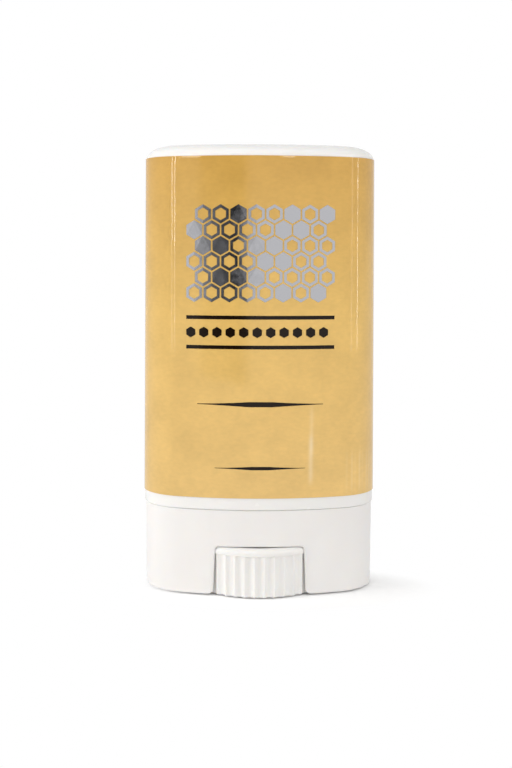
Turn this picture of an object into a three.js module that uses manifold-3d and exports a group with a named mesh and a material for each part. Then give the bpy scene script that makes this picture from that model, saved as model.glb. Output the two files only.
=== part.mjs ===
// Twist-up wax stick in an oval push-cap case.
// Millimetres, +Z up. The origin is the middle of the foot: the case stands on z = 0 with its
// broad side along X and its front window facing -Y.

import * as THREE from 'three';
import { mergeVertices } from 'three/addons/utils/BufferGeometryUtils.js';
import Module from 'manifold-3d';

const wasm = await Module();
wasm.setup();

// From the table to the top of the cap
const CASE_HEIGHT = 67.75;

// Oval outline of the cap at its open rim: two long shallow bows joined by two tight round ends.
const CAP_WIDTH = 35.74;
const CAP_DEPTH = 18.66;
const CAP_END_RADIUS = 7.72;

// Cap
const CAP_WALL = 1.3;
const CAP_ROOF = 1.5;
const CAP_DRAFT = Math.tan(THREE.MathUtils.degToRad(0.59));
const CAP_EDGE_INSET = 3.6;
const CAP_EDGE_DROP = 1.9;
const CAP_INNER_ROUND = 1.5;
const CAP_RIM_BREAK = 0.25;
const CAP_SEAT_GAP = 0.2;
const CAP_SIDE_GAP = 0.25;
const CAP_HEADROOM = 1.5;

// Label wrapped round the cap, with its butt seam at the back
const LABEL_THICKNESS = 0.1;
const LABEL_GLUE = 0.03;
const LABEL_MARGIN = 1.85;
const LABEL_SEAM = 0.4;

// Barrel: the tube, its floor and the skirt it stands on
const TUBE_LIP = 0.85;
const TUBE_LIP_BREAK = 0.28;
const BEAD_RISE = 0.12;
const BEAD_HEIGHT = 1.2;
const BEAD_UP = 3.0;
const FLOOR_THICKNESS = 1.2;
const SHOULDER_RISE = 2.3;
const SKIRT_STEP = 0.17;
const SKIRT_WALL = 1.3;
const SKIRT_FOOT_ROUND = 0.5;
const SKIRT_TOP_BREAK = 0.15;
const BOSS_LENGTH = 1.8;
const BOSS_WALL = 1.65;
const WINDOW_TOP_WIDTH = 13.55;
const WINDOW_HEAD_ROUND = 0.6;
const WINDOW_FLARE = 0.25;
const WINDOW_FOOT_ROUND = 0.8;

// Thumbwheel
const WHEEL_RADIUS = 10.7;
const WHEEL_HEIGHT = 7.35;
const WHEEL_GROUND_GAP = 0.2;
const WHEEL_RIM_HEIGHT = 1.0;
const WHEEL_RIM_ROUND = 0.5;
const WHEEL_WALL = 1.7;
const WHEEL_FACE = 1.6;
const WHEEL_DISH_RADIUS = 7.8;
const WHEEL_DISH_DEPTH = 0.5;
const WHEEL_HUB_WALL = 1.6;
const WHEEL_SPOKES = 6;
const WHEEL_SPOKE_WIDTH = 1.0;
const WHEEL_SPOKE_DROP = 1.8;
const WHEEL_SIDE_GAP = 0.35;
const WHEEL_HEAD_GAP = 0.22;
const WHEEL_THRUST_GAP = 0.3;
const FLUTE_COUNT = 44;
const FLUTE_DEPTH = 0.28;

// Lead screw, left-handed: turned anticlockwise seen from above it lifts the nut
const SCREW_LEAD = 4.0;
const SCREW_CORE_RADIUS = 1.75;
const SCREW_CREST_RADIUS = 2.4;
const FLIGHT_ROOT_WIDTH = 1.5;
const FLIGHT_CREST_WIDTH = 0.9;
const FLIGHT_SINK = 0.4;
const SCREW_TIP = 0.8;
const SCREW_BELOW_LIP = 1.5;
const COLLAR_RADIUS = 3.0;
const COLLAR_HEIGHT = 1.0;
const COLLAR_GAP = 0.15;
const SHANK_GAP = 0.15;
const HEX_RADIUS = 2.1;
const HEX_GAP = 0.15;

// Elevator
const ELEVATOR_SIDE_GAP = 0.2;
const ELEVATOR_FLOOR_GAP = 0.3;
const ELEVATOR_PLATE = 1.2;
const ELEVATOR_RIM_RISE = 1.8;
const ELEVATOR_RIM_WALL = 0.8;
const NUT_WALL = 1.55;
const NUT_LENGTH = 6.05;
const THREAD_GAP = 0.25;
const COLLAR_CLEARANCE = 0.3;
const FIN_THICKNESS = 1.0;
const FIN_RISE = 3.0;
const DRAIN_RADIUS = 1.1;
const DRAIN_SPACING = 13.0;

// Wax and the seal over it
const WAX_GAP = 0.3;
const WAX_SIDE_GAP = 0.25;
const WAX_DOME_RISE = 6.0;
const SEAL_WALL = 0.6;
const SEAL_PLUG_DEPTH = 2.0;
const SEAL_PLUG_GAP = 0.15;
const SEAL_SEAT_GAP = 0.15;
const SEAL_FLANGE = 0.7;
const SEAL_FLANGE_INSET = 0.1;

// How far a cutter runs on past the face it leaves by, and a joining piece runs into its neighbour
const OVERCUT = 1.0;
const WELD = 0.5;

// Facets
const END_STEPS = 14;
const BOW_STEPS = 8;
const EDGE_STEPS = 5;
const ROUND_STEPS = 3;
const DOME_STEPS = 6;
const HEX_SIDES = 6;
const DRAIN_SIDES = 16;
const ROUND_SIDES = 32;
const SCREW_SIDES = 16;
const WHEEL_SIDES = 64;
const FLUTE_STEPS = 5;

// Heights above the table: from the foot up to the cap's rim, then from the cap's top down
const WHEEL_TOP_Z = WHEEL_GROUND_GAP + WHEEL_HEIGHT;
const WINDOW_TOP_Z = WHEEL_TOP_Z + WHEEL_HEAD_GAP;
const BOSS_Z = WHEEL_TOP_Z + WHEEL_THRUST_GAP;
const FLOOR_Z = BOSS_Z + BOSS_LENGTH;
const FLOOR_TOP_Z = FLOOR_Z + FLOOR_THICKNESS;
const SHOULDER_Z = FLOOR_TOP_Z + SHOULDER_RISE;
const CAP_RIM_Z = SHOULDER_Z + CAP_SEAT_GAP;
const SEAL_TOP_Z = CASE_HEIGHT - CAP_ROOF - CAP_HEADROOM;
const WAX_TOP_Z = SEAL_TOP_Z - SEAL_WALL - WAX_GAP;
const LIP_Z = WAX_TOP_Z - WAX_DOME_RISE;

// Heights of the drive inside
const HEX_Z = WHEEL_GROUND_GAP + WHEEL_FACE + HEX_GAP;
const COLLAR_Z = FLOOR_TOP_Z + COLLAR_GAP;
const COLLAR_TOP_Z = COLLAR_Z + COLLAR_HEIGHT;
const ELEVATOR_Z = FLOOR_TOP_Z + ELEVATOR_FLOOR_GAP;
const NUT_Z = COLLAR_TOP_Z + COLLAR_CLEARANCE;
const NUT_TOP_Z = NUT_Z + NUT_LENGTH;
const WAX_FOOT_Z = ELEVATOR_Z + ELEVATOR_PLATE + WAX_GAP;
const SCREW_TOP_Z = LIP_Z - SCREW_BELOW_LIP;

// Insets of each wall from the cap's outline at its rim, counted inwards
const CAP_HEIGHT = CASE_HEIGHT - CAP_RIM_Z;
const TUBE_OUTSIDE = CAP_WALL + CAP_SIDE_GAP;
const TUBE_OUTSIDE_AT_LIP = TUBE_OUTSIDE + CAP_DRAFT * (LIP_Z - CAP_RIM_Z);
const TUBE_INSIDE = TUBE_OUTSIDE_AT_LIP + TUBE_LIP;
const SKIRT_INSIDE = SKIRT_STEP + SKIRT_WALL;
const ELEVATOR_OUTSIDE = TUBE_INSIDE + ELEVATOR_SIDE_GAP;
const ELEVATOR_INSIDE = ELEVATOR_OUTSIDE + ELEVATOR_RIM_WALL;
const SEAL_PLUG = TUBE_INSIDE + SEAL_PLUG_GAP;
const WAX_NECK = SEAL_PLUG + SEAL_WALL + WAX_GAP;
const NUT_RADIUS = SCREW_CREST_RADIUS + THREAD_GAP + NUT_WALL;
const BORE_RADIUS = SCREW_CREST_RADIUS + SHANK_GAP;

// The four arcs of the outline: an end arc turns about END_CENTRE, a bow about BOW_CENTRE on the far
// side of the middle, and they meet tangentially at END_ANGLE. An inset keeps both centres.
const END_CENTRE = CAP_WIDTH / 2 - CAP_END_RADIUS;
const BOW_RADIUS =
  (END_CENTRE ** 2 + (CAP_DEPTH / 2) ** 2 - CAP_END_RADIUS ** 2) / (CAP_DEPTH - 2 * CAP_END_RADIUS);
const BOW_CENTRE = BOW_RADIUS - CAP_DEPTH / 2;
const END_ANGLE = Math.atan2(BOW_CENTRE, END_CENTRE);

// One ring of the outline, anticlockwise from above, drawn in by an inset and then scaled.
function ovalRing({ inset, z, scale = 1 }) {
  const end = CAP_END_RADIUS - inset;
  const bow = BOW_RADIUS - inset;
  const half = Math.PI;
  const arcs = [
    [new THREE.ArcCurve(END_CENTRE, 0, end, -END_ANGLE, END_ANGLE), END_STEPS],
    [new THREE.ArcCurve(0, -BOW_CENTRE, bow, END_ANGLE, half - END_ANGLE), BOW_STEPS],
    [new THREE.ArcCurve(-END_CENTRE, 0, end, half - END_ANGLE, half + END_ANGLE), END_STEPS],
    [new THREE.ArcCurve(0, BOW_CENTRE, bow, half + END_ANGLE, 2 * half - END_ANGLE), BOW_STEPS],
  ];
  const points = arcs.flatMap(([arc, steps]) => arc.getPoints(steps).slice(0, -1));
  return points.map((point) => new THREE.Vector3(point.x * scale, point.y * scale, z));
}

// Carries the outline through a profile of insets and heights, as a lathe carries a circle. The
// profile runs from the axis out over the top, down the outside and back in to the axis, or, when
// it is a loop, closes on its own first ring. A ring scaled to nothing is the pole of a dome.
function ovalLathe(profile, { loop = false } = {}) {
  const rings = profile.map(ovalRing);
  const count = rings[0].length;
  const vertices = rings.flat();
  const triangles = [];
  const stitch = (upper, lower) => {
    for (let i = 0; i < count; i += 1) {
      const next = (i + 1) % count;
      triangles.push(upper * count + i, lower * count + i, upper * count + next);
      triangles.push(upper * count + next, lower * count + i, lower * count + next);
    }
  };
  for (let ring = 0; ring + 1 < rings.length; ring += 1) stitch(ring, ring + 1);
  if (loop) {
    stitch(rings.length - 1, 0);
  } else {
    const last = rings.length - 1;
    const head = vertices.push(new THREE.Vector3(0, 0, profile[0].z)) - 1;
    const tail = vertices.push(new THREE.Vector3(0, 0, profile[last].z)) - 1;
    for (let i = 0; i < count; i += 1) {
      const next = (i + 1) % count;
      triangles.push(head, i, next);
      triangles.push(tail, last * count + next, last * count + i);
    }
  }
  const geometry = new THREE.BufferGeometry().setFromPoints(vertices);
  geometry.setIndex(triangles);
  return geometry;
}

// Angles of a quarter turn in equal steps, from upright down to level.
function quarterTurn(steps) {
  return Array.from({ length: steps + 1 }, (_, i) => (Math.PI / 2) * (1 - i / steps));
}

function solidOf(geometry) {
  const bare = geometry.clone();
  bare.deleteAttribute('normal');
  bare.deleteAttribute('uv');
  const merged = mergeVertices(bare, 1e-4);
  const corners = merged.index.array;
  const kept = [];
  for (let i = 0; i < corners.length; i += 3) {
    const [a, b, c] = corners.slice(i, i + 3);
    if (a !== b && b !== c && c !== a) kept.push(a, b, c);
  }
  return new wasm.Manifold(new wasm.Mesh({
    numProp: 3,
    vertProperties: merged.attributes.position.array,
    triVerts: new Uint32Array(kept),
  }));
}

function meshOf(name, solid, material) {
  const { vertProperties, triVerts } = solid.getMesh();
  const geometry = new THREE.BufferGeometry();
  geometry.setAttribute('position', new THREE.BufferAttribute(vertProperties, 3));
  geometry.setIndex(new THREE.BufferAttribute(triVerts, 1));
  geometry.computeVertexNormals();
  const mesh = new THREE.Mesh(geometry, material);
  mesh.name = name;
  return mesh;
}

// A round bar along Z between two heights.
function bar(radius, low, high, sides = ROUND_SIDES) {
  const geometry = new THREE.CylinderGeometry(radius, radius, high - low, sides);
  return solidOf(geometry.rotateX(Math.PI / 2).translate(0, 0, (low + high) / 2));
}

function block(width, depth, low, high) {
  return solidOf(new THREE.BoxGeometry(width, depth, high - low).translate(0, 0, (low + high) / 2));
}

// A body turned about Z from pairs of radius and height, listed from the foot up.
function turned(pairs, sides) {
  const outline = pairs.map(([radius, height]) => new THREE.Vector2(radius, height));
  return solidOf(new THREE.LatheGeometry(outline, sides).rotateX(Math.PI / 2));
}

// The screw's flight between two heights, grown all round by a gap. It passes the X axis at whole
// leads above the table, so a flight and the groove for it always mesh.
function flight(low, high, gap = 0) {
  const steps = Math.ceil(((high - low) / SCREW_LEAD) * SCREW_SIDES);
  const first = Math.ceil((-high / SCREW_LEAD) * SCREW_SIDES);
  const section = [
    [SCREW_CORE_RADIUS - FLIGHT_SINK, -FLIGHT_ROOT_WIDTH / 2 - gap],
    [SCREW_CREST_RADIUS + gap, -FLIGHT_CREST_WIDTH / 2 - gap],
    [SCREW_CREST_RADIUS + gap, FLIGHT_CREST_WIDTH / 2 + gap],
    [SCREW_CORE_RADIUS - FLIGHT_SINK, FLIGHT_ROOT_WIDTH / 2 + gap],
  ];
  const corners = section.length;
  const vertices = [];
  const triangles = [];
  for (let step = 0; step < steps; step += 1) {
    const turns = (first + step) / SCREW_SIDES;
    const angle = turns * 2 * Math.PI;
    for (const [radius, rise] of section) {
      const z = rise - turns * SCREW_LEAD;
      vertices.push(new THREE.Vector3(radius * Math.cos(angle), radius * Math.sin(angle), z));
    }
    if (step === 0) continue;
    for (let side = 0; side < corners; side += 1) {
      const next = (side + 1) % corners;
      const here = step * corners;
      const back = here - corners;
      triangles.push(back + side, here + side, back + next);
      triangles.push(back + next, here + side, here + next);
    }
  }
  const end = vertices.length - corners;
  for (let side = 1; side + 1 < corners; side += 1) {
    triangles.push(0, side, side + 1);
    triangles.push(end, end + side + 1, end + side);
  }
  const geometry = new THREE.BufferGeometry().setFromPoints(vertices);
  geometry.setIndex(triangles);
  return solidOf(geometry);
}

function plastic(color, roughness) {
  return new THREE.MeshStandardMaterial({ color, roughness, metalness: 0 });
}

// Cap, from its rim up: a drafted shell whose top edge is a quarter ellipse
function makeCap() {
  const draft = (z) => CAP_DRAFT * z;
  const edgeZ = CAP_HEIGHT - CAP_EDGE_DROP;
  const ceilingZ = CAP_HEIGHT - CAP_ROOF;
  const springZ = ceilingZ - CAP_INNER_ROUND;
  const edge = quarterTurn(EDGE_STEPS).map((angle) => ({
    inset: draft(edgeZ) + CAP_EDGE_INSET * (1 - Math.cos(angle)),
    z: edgeZ + CAP_EDGE_DROP * Math.sin(angle),
  }));
  const ceiling = quarterTurn(ROUND_STEPS).reverse().map((angle) => ({
    inset: CAP_WALL + draft(springZ) + CAP_INNER_ROUND * (1 - Math.cos(angle)),
    z: springZ + CAP_INNER_ROUND * Math.sin(angle),
  }));
  const rim = [
    { inset: draft(CAP_RIM_BREAK), z: CAP_RIM_BREAK },
    { inset: CAP_RIM_BREAK, z: 0 },
    { inset: CAP_WALL, z: 0 },
  ];
  const solid = solidOf(ovalLathe([...edge, ...rim, ...ceiling]));
  return meshOf('cap', solid, plastic(0xf3f1ee, 0.28));
}

// Label, in the cap's own heights: from a bare margin above the rim to the start of the top edge
function makeLabel() {
  const topZ = CAP_HEIGHT - CAP_EDGE_DROP;
  const face = -LABEL_GLUE - LABEL_THICKNESS;
  const band = solidOf(ovalLathe([
    { inset: face + CAP_DRAFT * topZ, z: topZ },
    { inset: face + CAP_DRAFT * LABEL_MARGIN, z: LABEL_MARGIN },
    { inset: -LABEL_GLUE + CAP_DRAFT * LABEL_MARGIN, z: LABEL_MARGIN },
    { inset: -LABEL_GLUE + CAP_DRAFT * topZ, z: topZ },
  ], { loop: true }));
  const seam = block(LABEL_SEAM, CAP_DEPTH, 0, CAP_HEIGHT).translate([0, CAP_DEPTH / 2, 0]);
  return meshOf('cap_label', band.subtract(seam), plastic(0xdcb06a, 0.35));
}

// A window's outline seen from the front: rounded corners at the head, flared out at the foot
function windowShape() {
  const head = WINDOW_TOP_WIDTH / 2;
  const foot = head + WINDOW_FLARE;
  const wide = foot + WINDOW_FOOT_ROUND;
  const shape = new THREE.Shape();
  shape.moveTo(-wide, -OVERCUT);
  shape.lineTo(wide, -OVERCUT);
  shape.lineTo(wide, 0);
  shape.absarc(wide, WINDOW_FOOT_ROUND, WINDOW_FOOT_ROUND, -Math.PI / 2, -Math.PI, true);
  const corner = head - WINDOW_HEAD_ROUND;
  const spring = WINDOW_TOP_Z - WINDOW_HEAD_ROUND;
  shape.absarc(corner, spring, WINDOW_HEAD_ROUND, 0, Math.PI / 2);
  shape.absarc(-corner, spring, WINDOW_HEAD_ROUND, Math.PI / 2, Math.PI);
  shape.absarc(-wide, WINDOW_FOOT_ROUND, WINDOW_FOOT_ROUND, 0, -Math.PI / 2, true);
  return shape;
}

// Barrel: from the floor up the inside of the tube, over the lip, down the outside past the bead
// that the cap clicks over to the shoulder, down the skirt to the foot and up inside to the floor
function makeBarrel() {
  const tube = (z) => TUBE_OUTSIDE + CAP_DRAFT * (z - CAP_RIM_Z);
  const beadZ = SHOULDER_Z + BEAD_UP;
  const beadTop = beadZ + BEAD_HEIGHT / 2;
  const beadFoot = beadZ - BEAD_HEIGHT / 2;
  const foot = quarterTurn(ROUND_STEPS).reverse().map((angle) => ({
    inset: SKIRT_STEP + SKIRT_FOOT_ROUND * (1 - Math.cos(angle)),
    z: SKIRT_FOOT_ROUND * (1 - Math.sin(angle)),
  }));
  const shell = solidOf(ovalLathe([
    { inset: TUBE_INSIDE, z: FLOOR_TOP_Z },
    { inset: TUBE_INSIDE, z: LIP_Z },
    { inset: TUBE_OUTSIDE_AT_LIP + TUBE_LIP_BREAK, z: LIP_Z },
    { inset: TUBE_OUTSIDE_AT_LIP, z: LIP_Z - TUBE_LIP_BREAK },
    { inset: tube(beadTop), z: beadTop },
    { inset: tube(beadZ) - BEAD_RISE, z: beadZ },
    { inset: tube(beadFoot), z: beadFoot },
    { inset: tube(SHOULDER_Z), z: SHOULDER_Z },
    { inset: SKIRT_STEP + SKIRT_TOP_BREAK, z: SHOULDER_Z },
    { inset: SKIRT_STEP, z: SHOULDER_Z - SKIRT_TOP_BREAK },
    ...foot,
    { inset: SKIRT_INSIDE, z: 0 },
    { inset: SKIRT_INSIDE, z: FLOOR_Z },
  ]));
  const through = { depth: 2 * CAP_DEPTH, bevelEnabled: false, curveSegments: EDGE_STEPS };
  const windows = new THREE.ExtrudeGeometry(windowShape(), through)
    .translate(0, 0, -CAP_DEPTH)
    .rotateX(Math.PI / 2);
  const wheelWell = bar(WHEEL_RADIUS + WHEEL_SIDE_GAP, -OVERCUT, WINDOW_TOP_Z, WHEEL_SIDES);
  const boss = bar(BORE_RADIUS + BOSS_WALL, BOSS_Z, FLOOR_Z + FLOOR_THICKNESS / 2);
  const bore = bar(BORE_RADIUS, 0, FLOOR_TOP_Z + OVERCUT);
  const solid = shell.subtract(solidOf(windows)).subtract(wheelWell).add(boss).subtract(bore);
  return meshOf('barrel', solid, plastic(0xf1eeeb, 0.38));
}

// Everything outside the fluted outline of the wheel, between two heights
function fluteCutter(low, high) {
  const outside = new THREE.Shape().absarc(0, 0, WHEEL_RADIUS + OVERCUT, 0, 2 * Math.PI);
  const steps = FLUTE_COUNT * FLUTE_STEPS;
  const fluted = Array.from({ length: steps }, (_, i) => {
    const angle = (i / steps) * 2 * Math.PI;
    const radius = WHEEL_RADIUS - FLUTE_DEPTH * Math.sin((angle * FLUTE_COUNT) / 2) ** 2;
    return new THREE.Vector2(radius * Math.cos(angle), radius * Math.sin(angle));
  });
  outside.holes.push(new THREE.Path(fluted));
  const through = { depth: high - low, bevelEnabled: false, curveSegments: ROUND_SIDES };
  return solidOf(new THREE.ExtrudeGeometry(outside, through).translate(0, 0, low));
}

// Thumbwheel, from its face up: a cup with a hub, spokes and a hex socket, fluted below its rim
function makeThumbwheel() {
  const radius = WHEEL_RADIUS;
  const hub = HEX_RADIUS + HEX_GAP + WHEEL_HUB_WALL;
  const rim = quarterTurn(ROUND_STEPS).reverse().map((angle) => [
    radius - WHEEL_RIM_ROUND * (1 - Math.cos(angle)),
    WHEEL_HEIGHT - WHEEL_RIM_ROUND * (1 - Math.sin(angle)),
  ]);
  const cup = turned([
    [0, WHEEL_DISH_DEPTH],
    [WHEEL_DISH_RADIUS, WHEEL_DISH_DEPTH],
    [WHEEL_DISH_RADIUS + WHEEL_DISH_DEPTH, 0],
    [radius - FLUTE_DEPTH, 0],
    [radius, FLUTE_DEPTH],
    ...rim,
    [radius - WHEEL_WALL, WHEEL_HEIGHT],
    [radius - WHEEL_WALL, WHEEL_FACE],
    [hub, WHEEL_FACE],
    [hub, WHEEL_HEIGHT],
    [0, WHEEL_HEIGHT],
  ], WHEEL_SIDES);
  const reach = radius - WHEEL_WALL / 2;
  let solid = cup;
  for (let i = 0; i < WHEEL_SPOKES; i += 1) {
    const spoke = block(reach, WHEEL_SPOKE_WIDTH, WHEEL_FACE / 2, WHEEL_HEIGHT - WHEEL_SPOKE_DROP);
    solid = solid.add(spoke.translate([reach / 2, 0, 0]).rotate([0, 0, (360 / WHEEL_SPOKES) * i]));
  }
  const socket = bar(HEX_RADIUS + HEX_GAP, WHEEL_FACE, WHEEL_HEIGHT + OVERCUT, HEX_SIDES);
  const flutes = fluteCutter(-OVERCUT, WHEEL_HEIGHT - WHEEL_RIM_HEIGHT);
  solid = solid.subtract(socket).subtract(flutes);
  return meshOf('thumbwheel', solid, plastic(0xf2efec, 0.36));
}

// Lead screw, in heights above the table: hex foot, shank through the floor, collar, core and flight
function makeLeadScrew() {
  const threadTop = SCREW_TOP_Z - SCREW_TIP;
  const shaft = turned([
    [0, WHEEL_TOP_Z],
    [SCREW_CREST_RADIUS, WHEEL_TOP_Z],
    [SCREW_CREST_RADIUS, COLLAR_Z],
    [COLLAR_RADIUS, COLLAR_Z],
    [COLLAR_RADIUS, COLLAR_TOP_Z],
    [SCREW_CORE_RADIUS, COLLAR_TOP_Z],
    [SCREW_CORE_RADIUS, threadTop],
    [SCREW_CORE_RADIUS / 2, SCREW_TOP_Z],
    [0, SCREW_TOP_Z],
  ], SCREW_SIDES);
  const foot = bar(HEX_RADIUS, HEX_Z, WHEEL_TOP_Z + WELD, HEX_SIDES);
  const thread = flight(COLLAR_TOP_Z + FLIGHT_ROOT_WIDTH, threadTop - FLIGHT_ROOT_WIDTH / 2);
  return meshOf('lead_screw', shaft.add(foot).add(thread), plastic(0xf4f2ea, 0.42));
}

// Elevator, in heights above the table: a shallow cup with two fins and the nut that climbs the screw
function makeElevator() {
  const plateTop = ELEVATOR_Z + ELEVATOR_PLATE;
  const rimTop = plateTop + ELEVATOR_RIM_RISE;
  const cup = solidOf(ovalLathe([
    { inset: ELEVATOR_INSIDE, z: plateTop },
    { inset: ELEVATOR_INSIDE, z: rimTop },
    { inset: ELEVATOR_OUTSIDE, z: rimTop },
    { inset: ELEVATOR_OUTSIDE, z: ELEVATOR_Z },
  ]));
  const nut = bar(NUT_RADIUS, ELEVATOR_Z, NUT_TOP_Z);
  const span = CAP_WIDTH - 2 * ELEVATOR_INSIDE + ELEVATOR_RIM_WALL;
  const fins = block(span, FIN_THICKNESS, plateTop - ELEVATOR_PLATE / 2, plateTop + FIN_RISE);
  const below = ELEVATOR_Z - OVERCUT;
  const collarRoom = bar(COLLAR_RADIUS + COLLAR_CLEARANCE, below, NUT_Z);
  const coreRoom = bar(SCREW_CORE_RADIUS + THREAD_GAP, below, NUT_TOP_Z + OVERCUT, SCREW_SIDES);
  const groove = flight(NUT_Z - SCREW_LEAD, NUT_TOP_Z + SCREW_LEAD, THREAD_GAP);
  let solid = cup.add(nut).add(fins).subtract(collarRoom).subtract(coreRoom).subtract(groove);
  const drain = bar(DRAIN_RADIUS, below, plateTop + OVERCUT, DRAIN_SIDES);
  const rows = (CAP_DEPTH / 2 - ELEVATOR_INSIDE) / 2;
  for (const x of [-DRAIN_SPACING / 2, DRAIN_SPACING / 2]) {
    solid = solid.subtract(drain.translate([x, -rows, 0]));
    solid = solid.subtract(drain.translate([x, rows, 0]));
  }
  return meshOf('elevator', solid, plastic(0xf0eeea, 0.45));
}

// Wax, in heights above the table: foot inside the elevator's cup, full section in the tube, a neck
// inside the seal and a dome, hollowed for the nut, the fins and the screw
function makeWax() {
  const side = TUBE_INSIDE + WAX_SIDE_GAP;
  const foot = ELEVATOR_INSIDE + WAX_GAP;
  const cupTop = ELEVATOR_Z + ELEVATOR_PLATE + ELEVATOR_RIM_RISE + WAX_GAP;
  const neckZ = LIP_Z - SEAL_PLUG_DEPTH - WAX_GAP;
  const dome = quarterTurn(DOME_STEPS).map((angle) => ({
    inset: WAX_NECK,
    scale: Math.cos(angle),
    z: LIP_Z + WAX_DOME_RISE * Math.sin(angle),
  }));
  const body = solidOf(ovalLathe([
    ...dome,
    { inset: WAX_NECK, z: neckZ },
    { inset: side, z: neckZ },
    { inset: side, z: cupTop },
    { inset: foot, z: cupTop },
    { inset: foot, z: WAX_FOOT_Z },
  ]));
  const below = WAX_FOOT_Z - OVERCUT;
  const nutRoom = bar(NUT_RADIUS + WAX_GAP, below, NUT_TOP_Z + WAX_GAP);
  const screwRoom = bar(SCREW_CREST_RADIUS + WAX_GAP, below, SCREW_TOP_Z + WAX_GAP);
  const finTop = ELEVATOR_Z + ELEVATOR_PLATE + FIN_RISE + WAX_GAP;
  const finRoom = block(CAP_WIDTH, FIN_THICKNESS + 2 * WAX_GAP, below, finTop);
  const solid = body.subtract(nutRoom).subtract(screwRoom).subtract(finRoom);
  return meshOf('wax_stick', solid, plastic(0xf1e3bd, 0.5));
}

// Seal, in heights above the table: a dome over the wax, a flange on the lip and a plug in the tube
function makeSeal() {
  const flangeZ = LIP_Z + SEAL_SEAT_GAP;
  const flangeTop = flangeZ + SEAL_FLANGE;
  const flangeEdge = TUBE_OUTSIDE_AT_LIP + SEAL_FLANGE_INSET;
  const inside = SEAL_PLUG + SEAL_WALL;
  const domeRings = (inset, rise) => quarterTurn(DOME_STEPS).map((angle) => ({
    inset,
    scale: Math.cos(angle),
    z: LIP_Z + rise * Math.sin(angle),
  }));
  const outerRise = SEAL_TOP_Z - LIP_Z;
  const outer = domeRings(SEAL_PLUG, outerRise).filter(({ z }) => z > flangeTop);
  const inner = domeRings(inside, outerRise - SEAL_WALL).reverse();
  const solid = solidOf(ovalLathe([
    ...outer,
    { inset: SEAL_PLUG, z: flangeTop },
    { inset: flangeEdge, z: flangeTop },
    { inset: flangeEdge, z: flangeZ },
    { inset: SEAL_PLUG, z: flangeZ },
    { inset: SEAL_PLUG, z: LIP_Z - SEAL_PLUG_DEPTH },
    { inset: inside, z: LIP_Z - SEAL_PLUG_DEPTH },
    ...inner,
  ]));
  return meshOf('inner_seal', solid, plastic(0xeceeec, 0.4));
}

// What moves together hangs in one group
function groupOf(name, ...members) {
  const group = new THREE.Group();
  group.name = name;
  return group.add(...members);
}

const thumbwheel = makeThumbwheel();
thumbwheel.position.z = WHEEL_GROUND_GAP;
const cover = groupOf('cap_assembly', makeCap(), makeLabel());
cover.position.z = CAP_RIM_Z;

export default groupOf(
  'twist_up_wax_stick',
  makeBarrel(),
  groupOf('drive', thumbwheel, makeLeadScrew()),
  groupOf('rising_stick', makeElevator(), makeWax()),
  makeSeal(),
  cover,
);
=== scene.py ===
# %% [markdown]
# # A twist-up wax stick in an oval case
# The object is a pocket pack: a white oval case on a short skirt, a push-on cap with a gold film
# wrapped round it, and a fluted thumbwheel that shows in a window of the skirt and winds the wax up.
# The imported model is the frame that everything here hangs on, so it is loaded first, and its box is
# kept and printed beside the finished model's at the end.

# %% Load the frame
import math

import bmesh
import bpy
from mathutils import Matrix, Vector


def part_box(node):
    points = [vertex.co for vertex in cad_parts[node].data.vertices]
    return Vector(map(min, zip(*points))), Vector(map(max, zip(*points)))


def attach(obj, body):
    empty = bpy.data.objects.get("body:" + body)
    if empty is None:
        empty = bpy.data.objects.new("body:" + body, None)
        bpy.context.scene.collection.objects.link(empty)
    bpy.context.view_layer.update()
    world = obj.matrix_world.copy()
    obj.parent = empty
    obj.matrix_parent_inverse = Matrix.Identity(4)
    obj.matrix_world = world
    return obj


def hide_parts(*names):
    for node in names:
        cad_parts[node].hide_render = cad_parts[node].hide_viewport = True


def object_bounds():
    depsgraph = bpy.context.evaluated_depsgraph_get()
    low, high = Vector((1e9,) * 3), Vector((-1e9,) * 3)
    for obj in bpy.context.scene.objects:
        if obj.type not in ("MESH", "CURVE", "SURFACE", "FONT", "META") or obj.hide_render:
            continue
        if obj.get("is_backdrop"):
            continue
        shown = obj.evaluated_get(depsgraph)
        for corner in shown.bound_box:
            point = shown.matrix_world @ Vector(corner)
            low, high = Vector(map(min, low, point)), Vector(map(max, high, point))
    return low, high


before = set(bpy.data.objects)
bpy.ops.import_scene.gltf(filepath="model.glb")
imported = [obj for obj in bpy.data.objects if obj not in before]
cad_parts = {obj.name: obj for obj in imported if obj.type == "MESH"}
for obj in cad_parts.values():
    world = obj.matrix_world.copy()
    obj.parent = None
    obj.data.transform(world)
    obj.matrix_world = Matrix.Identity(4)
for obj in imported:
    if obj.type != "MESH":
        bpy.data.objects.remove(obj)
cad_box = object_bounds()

MM = 0.001
PER_MM = 1 / MM
scene = bpy.context.scene
scene.view_settings.view_transform = "Standard"

# %% [markdown]
# ## Camera
# A camera can be placed by eye, but here its numbers come from measuring edges of the case in the
# picture: how far away it stands, how high, and how much it looks down. The focal length is given in
# pixels of a 512 by 768 picture and turned into millimetres of a 36 mm high sensor.

# %% Camera
IMAGE_WIDTH, IMAGE_HEIGHT = 512, 768
FOCAL_PIXELS, AXIS_PIXEL = 1158.9, 259.2
CAMERA_DISTANCE, CAMERA_HEIGHT = 180 * MM, 50.95 * MM
CAMERA_AROUND, CAMERA_PITCH, CAMERA_ROLL = -0.019, 0.108, 0.004
SENSOR_HEIGHT = 36


def placed(name, data):
    """A new object in the scene."""
    made = bpy.data.objects.new(name, data)
    scene.collection.objects.link(made)
    return made


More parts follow.
